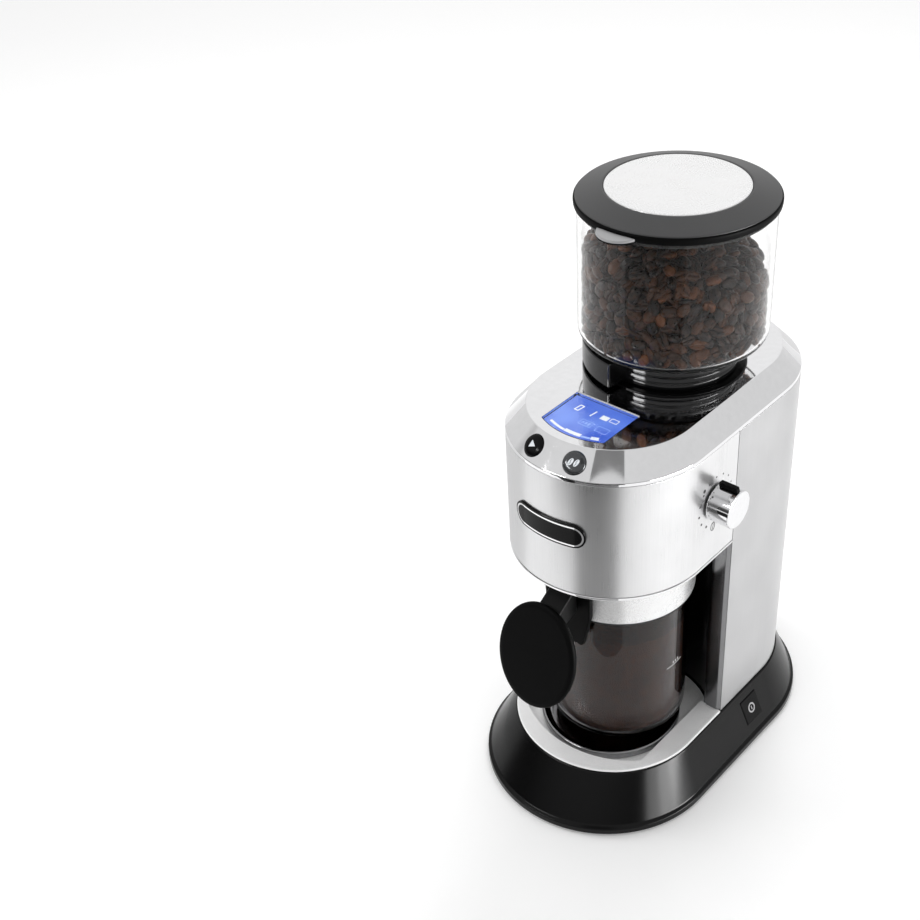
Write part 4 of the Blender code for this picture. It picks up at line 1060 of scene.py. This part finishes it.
def coffee_piece():
    """Ground coffee: it fills the jar to a little below half, with a loose, uneven top."""
    around, centre = 180, Vector((0, JAR_Y, 0))
    wall, floor, top = JAR_RADIUS - 0.0026, JAR_BOTTOM + 0.0036, 0.1185
    corner = JAR_BOTTOM + 0.0110
    profile = [(0.030, floor), (wall - 0.0014, floor), (wall, JAR_BOTTOM + 0.0104), (wall, top)]
    side = [tuple(point) for point in rounded(profile, [0, 0.0060, 0.0030, 0], steps=6)]
    climb = [(wall, corner + (top - corner) * i / 40) for i in range(1, 41)]
    inward = [(wall * (1 - i / 24), top) for i in range(1, 24)]
    points, rows = [], []
    for radius, z in side[:-1] + climb + inward:
        rows.append(range(len(points), len(points) + around))
        for i in range(around):
            angle = 2 * math.pi * i / around
            spot = Vector((radius * math.cos(angle), radius * math.sin(angle), z))
            rough = noise.noise(spot * 900) * 0.00012
            if z >= top - 1e-6:
                heap = 0.0035 * (1 - (radius / wall) ** 2) + 0.0010 * noise.noise(spot * 90)
                spot.z += heap + noise.noise(spot * 700) * 0.0004
            else:
                spot.x *= 1 - abs(rough) / radius
                spot.y *= 1 - abs(rough) / radius
            points.append(spot + centre)
    faces = [tuple(reversed(rows[0])), tuple(rows[-1])]
    for one, two in zip(rows, rows[1:]):
        for i in range(around):
            j = (i + 1) % around
            faces.append((one[i], one[j], two[j], two[i]))
    piece("grounds", mesh_of(points, faces), "ground_coffee", "jar", sharp=80)


# CAD nodes that keep their mesh.


def carried_nodes():
    finishes = {part["node"]: part["material_slot"] for part in frame["record"]["subparts"]}
    other = {
        "column_trim_left": "dark_chrome", "column_trim_right": "dark_chrome", "jar_handle_arm": "arm_black",
    }
    edges = {
        "column_trim_left": 0.0004, "column_trim_right": 0.0004, "jar_handle_bracket": 0.0012,
        "jar_handle_arm": 0.0014, "power_switch": 0.0004, "knob_pointer": 0.0006, "inner_frame": 0.0004,
        "motor_bracket": 0.0003, "gear_plate": 0.0003, "grounds_chute": 0.0004, "jar_rest": 0.0008,
        "base_bottom_cover": 0.0005, "control_board": 0.0002, "power_board": 0.0002,
    }
    for name, node in NODES.items():
        if node.hide_render:
            continue
        node.data.materials.clear()
        node.data.materials.append(MATERIALS[other.get(name, finishes[name])])
        weld = node.modifiers.new("Weld", "WELD")
        weld.merge_threshold = 0.000002
        if name in edges:
            eased(node, edges[name])
            node.data.shade_smooth()
            weighted(node)


# The floor, the lights and the camera.


def light_card(name, corners, strength):
    """A card that only reflections see."""
    mesh = mesh_of(corners, [(0, 1, 2, 3)])
    card = linked(name, mesh)
    material, _, shader = new_tree(name)
    white, black = (1, 1, 1, 1), (0, 0, 0, 1)
    set_sockets(
        shader, Base_Color=black, Specular_IOR_Level=0, Emission_Color=white, Emission_Strength=strength
    )
    mesh.materials.append(material)
    for kind in ("camera", "diffuse", "shadow", "transmission", "volume_scatter"):
        setattr(card, f"visible_{kind}", False)


def studio():
    floor_mesh = mesh_of([(-8, -8, 0), (8, -8, 0), (8, 8, 0), (-8, 8, 0)], [(0, 1, 2, 3)])
    floor = linked("studio_floor", floor_mesh)
    floor_mesh.materials.append(surface(
        "studio_floor", grey(0.955), grey(0.965), (0.6, 0.7), 30, bump=0.0, Emission_Color=(1, 1, 1, 1),
        Emission_Strength=0.12,
    ))

    def spot(azimuth, reach, z):
        """A point at an azimuth from the front, towards the right, and a reach from the object's middle."""
        angle = math.radians(azimuth)
        return (reach * math.sin(angle), -0.03 - reach * math.cos(angle), z)

    def floor_card(name, start, end, near, far, strength):
        corners = []
        for azimuth, reach in ((start, near), (start, far), (end, far), (end, near)):
            corners.append(spot(azimuth, reach, lift))
        light_card(name, corners, strength)

    def sky_card(name, start, end, low_angle, high_angle, reach, strength):
        corners = []
        for azimuth, rise in ((start, low_angle), (start, high_angle), (end, high_angle), (end, low_angle)):
            flat = reach * math.cos(math.radians(rise))
            corners.append(spot(azimuth, flat, 0.25 + reach * math.sin(math.radians(rise))))
        light_card(name, corners, strength)

    # Dark and light places for the metal, the glass and the black plastic to reflect.
    lift = 0.002  # of the cards over the floor
    floor_card("flag_far", -24, 48, 0.46, 2.2, 0.02)
    floor_card("flag_near", 0, 42, 0.17, 0.46, 0.30)
    floor_card("glow_right", 60, 170, 0.50, 2.0, 1.10)
    floor_card("glow_left", -60, -30, 0.45, 1.6, 0.95)
    floor_card("glow_side", -175, -62, 0.14, 1.6, 0.80)
    sky_card("flag_above", 10, 50, 48, 68, 1.1, 0.22)
    sky_card("strip_front", -40, -12, 31, 36, 1.3, 16)
    for i, (start, end, strength) in enumerate(((72, 84, 8), (84, 96, 16), (96, 116, 26)), 1):
        corners = []
        for azimuth, z in ((start, lift), (end, lift), (end, 0.38), (start, 0.38)):
            corners.append(spot(azimuth, 1.2, z))
        light_card(f"softbox_low_{i}", corners, strength)

    world_light()

    def area(name, place, target, width, depth, power):
        lamp = bpy.data.lights.new(name, "AREA")
        lamp.shape = "RECTANGLE"
        lamp.size, lamp.size_y, lamp.energy = width, depth, power
        obj = linked(name, lamp)
        obj.visible_glossy = False
        obj.location = place
        obj.rotation_euler = (Vector(target) - Vector(place)).to_track_quat("-Z", "Y").to_euler()

    area("top_box", (-0.25, 0.75, 1.25), (0, 0, 0.3), 0.5, 0.5, 5)
    area("left_box", (-1.2, -0.5, 0.8), (0, 0, 0.2), 0.4, 0.9, 5)

    bpy.context.scene.view_settings.view_transform = "Standard"
    bpy.context.scene.view_settings.look = "None"


def world_light():
    """A white room seen directly or through glass, whose lower front is dark in reflections."""
    world = bpy.data.worlds.new("studio")
    bpy.context.scene.world = world
    world.use_nodes = True
    tree = world.node_tree
    tree.nodes.clear()
    sky, path, coords = add(tree, "Background"), add(tree, "LightPath"), add(tree, "TexCoord")

    def math_node(operation, first, second):
        node = add(tree, "Math")
        node.operation = operation
        for socket, value in zip(node.inputs, (first, second)):
            if isinstance(value, (int, float)):
                socket.default_value = value
            else:
                tree.links.new(value, socket)
        return node.outputs[0]

    def toward(direction, low_in, high_in):
        """0 to 1 as the view turns towards a direction."""
        node = add(tree, "VectorMath")
        node.operation = "DOT_PRODUCT"
        node.inputs[1].default_value = Vector(direction).normalized()
        tree.links.new(coords.outputs["Generated"], node.inputs[0])
        return spread(tree, node.outputs["Value"], 0, 1, low_in, high_in)

    high = toward((0, 0, 1), 0.22, 0.42)
    behind = toward((-0.35, 1, 0), -0.25, 0.15)
    lit_part = math_node("MAXIMUM", high, behind)
    reflected = spread(tree, lit_part, 0.07, 0.90, 0, 1)
    crown = math_node("MULTIPLY", toward((-0.5, 0.75, 0.45), 0.6, 1.0), 0.25)
    reflected = math_node("ADD", reflected, crown)
    strengths = {"Is Glossy Ray": reflected, "Is Camera Ray": 1.0, "Is Transmission Ray": 1.0}
    base = 1.0
    for flag, strength in strengths.items():
        off = math_node("SUBTRACT", 1.0, path.outputs[flag])
        kept = math_node("MULTIPLY", off, base)
        added = math_node("MULTIPLY", path.outputs[flag], strength)
        base = math_node("ADD", kept, added)
    tree.links.new(base, sky.inputs["Strength"])
    tree.links.new(sky.outputs[0], add(tree, "OutputWorld").inputs["Surface"])


def camera():
    data = bpy.data.cameras.new("camera")
    data.sensor_width = 36
    data.lens = 54.05
    data.clip_start, data.clip_end = 0.01, 50
    obj = linked("camera", data)
    place = Vector((0.39147, -0.57005, 0.69991))
    tilt, roll, turn = 54.767, 3.338, 41.711  # degrees about X, Y and Z
    angles = Euler([math.radians(angle) for angle in (tilt, roll, turn)])
    obj.matrix_world = Matrix.Translation(place) @ angles.to_matrix().to_4x4()
    bpy.context.scene.camera = obj


base_pieces()
column_pieces()
head_pieces()
badge_pieces()
cover_pieces()
control_pieces()
dial_pieces()
hopper_pieces()
lid_pieces()
bean_pieces()
jar_pieces()
coffee_piece()
carried_nodes()
studio()
camera()
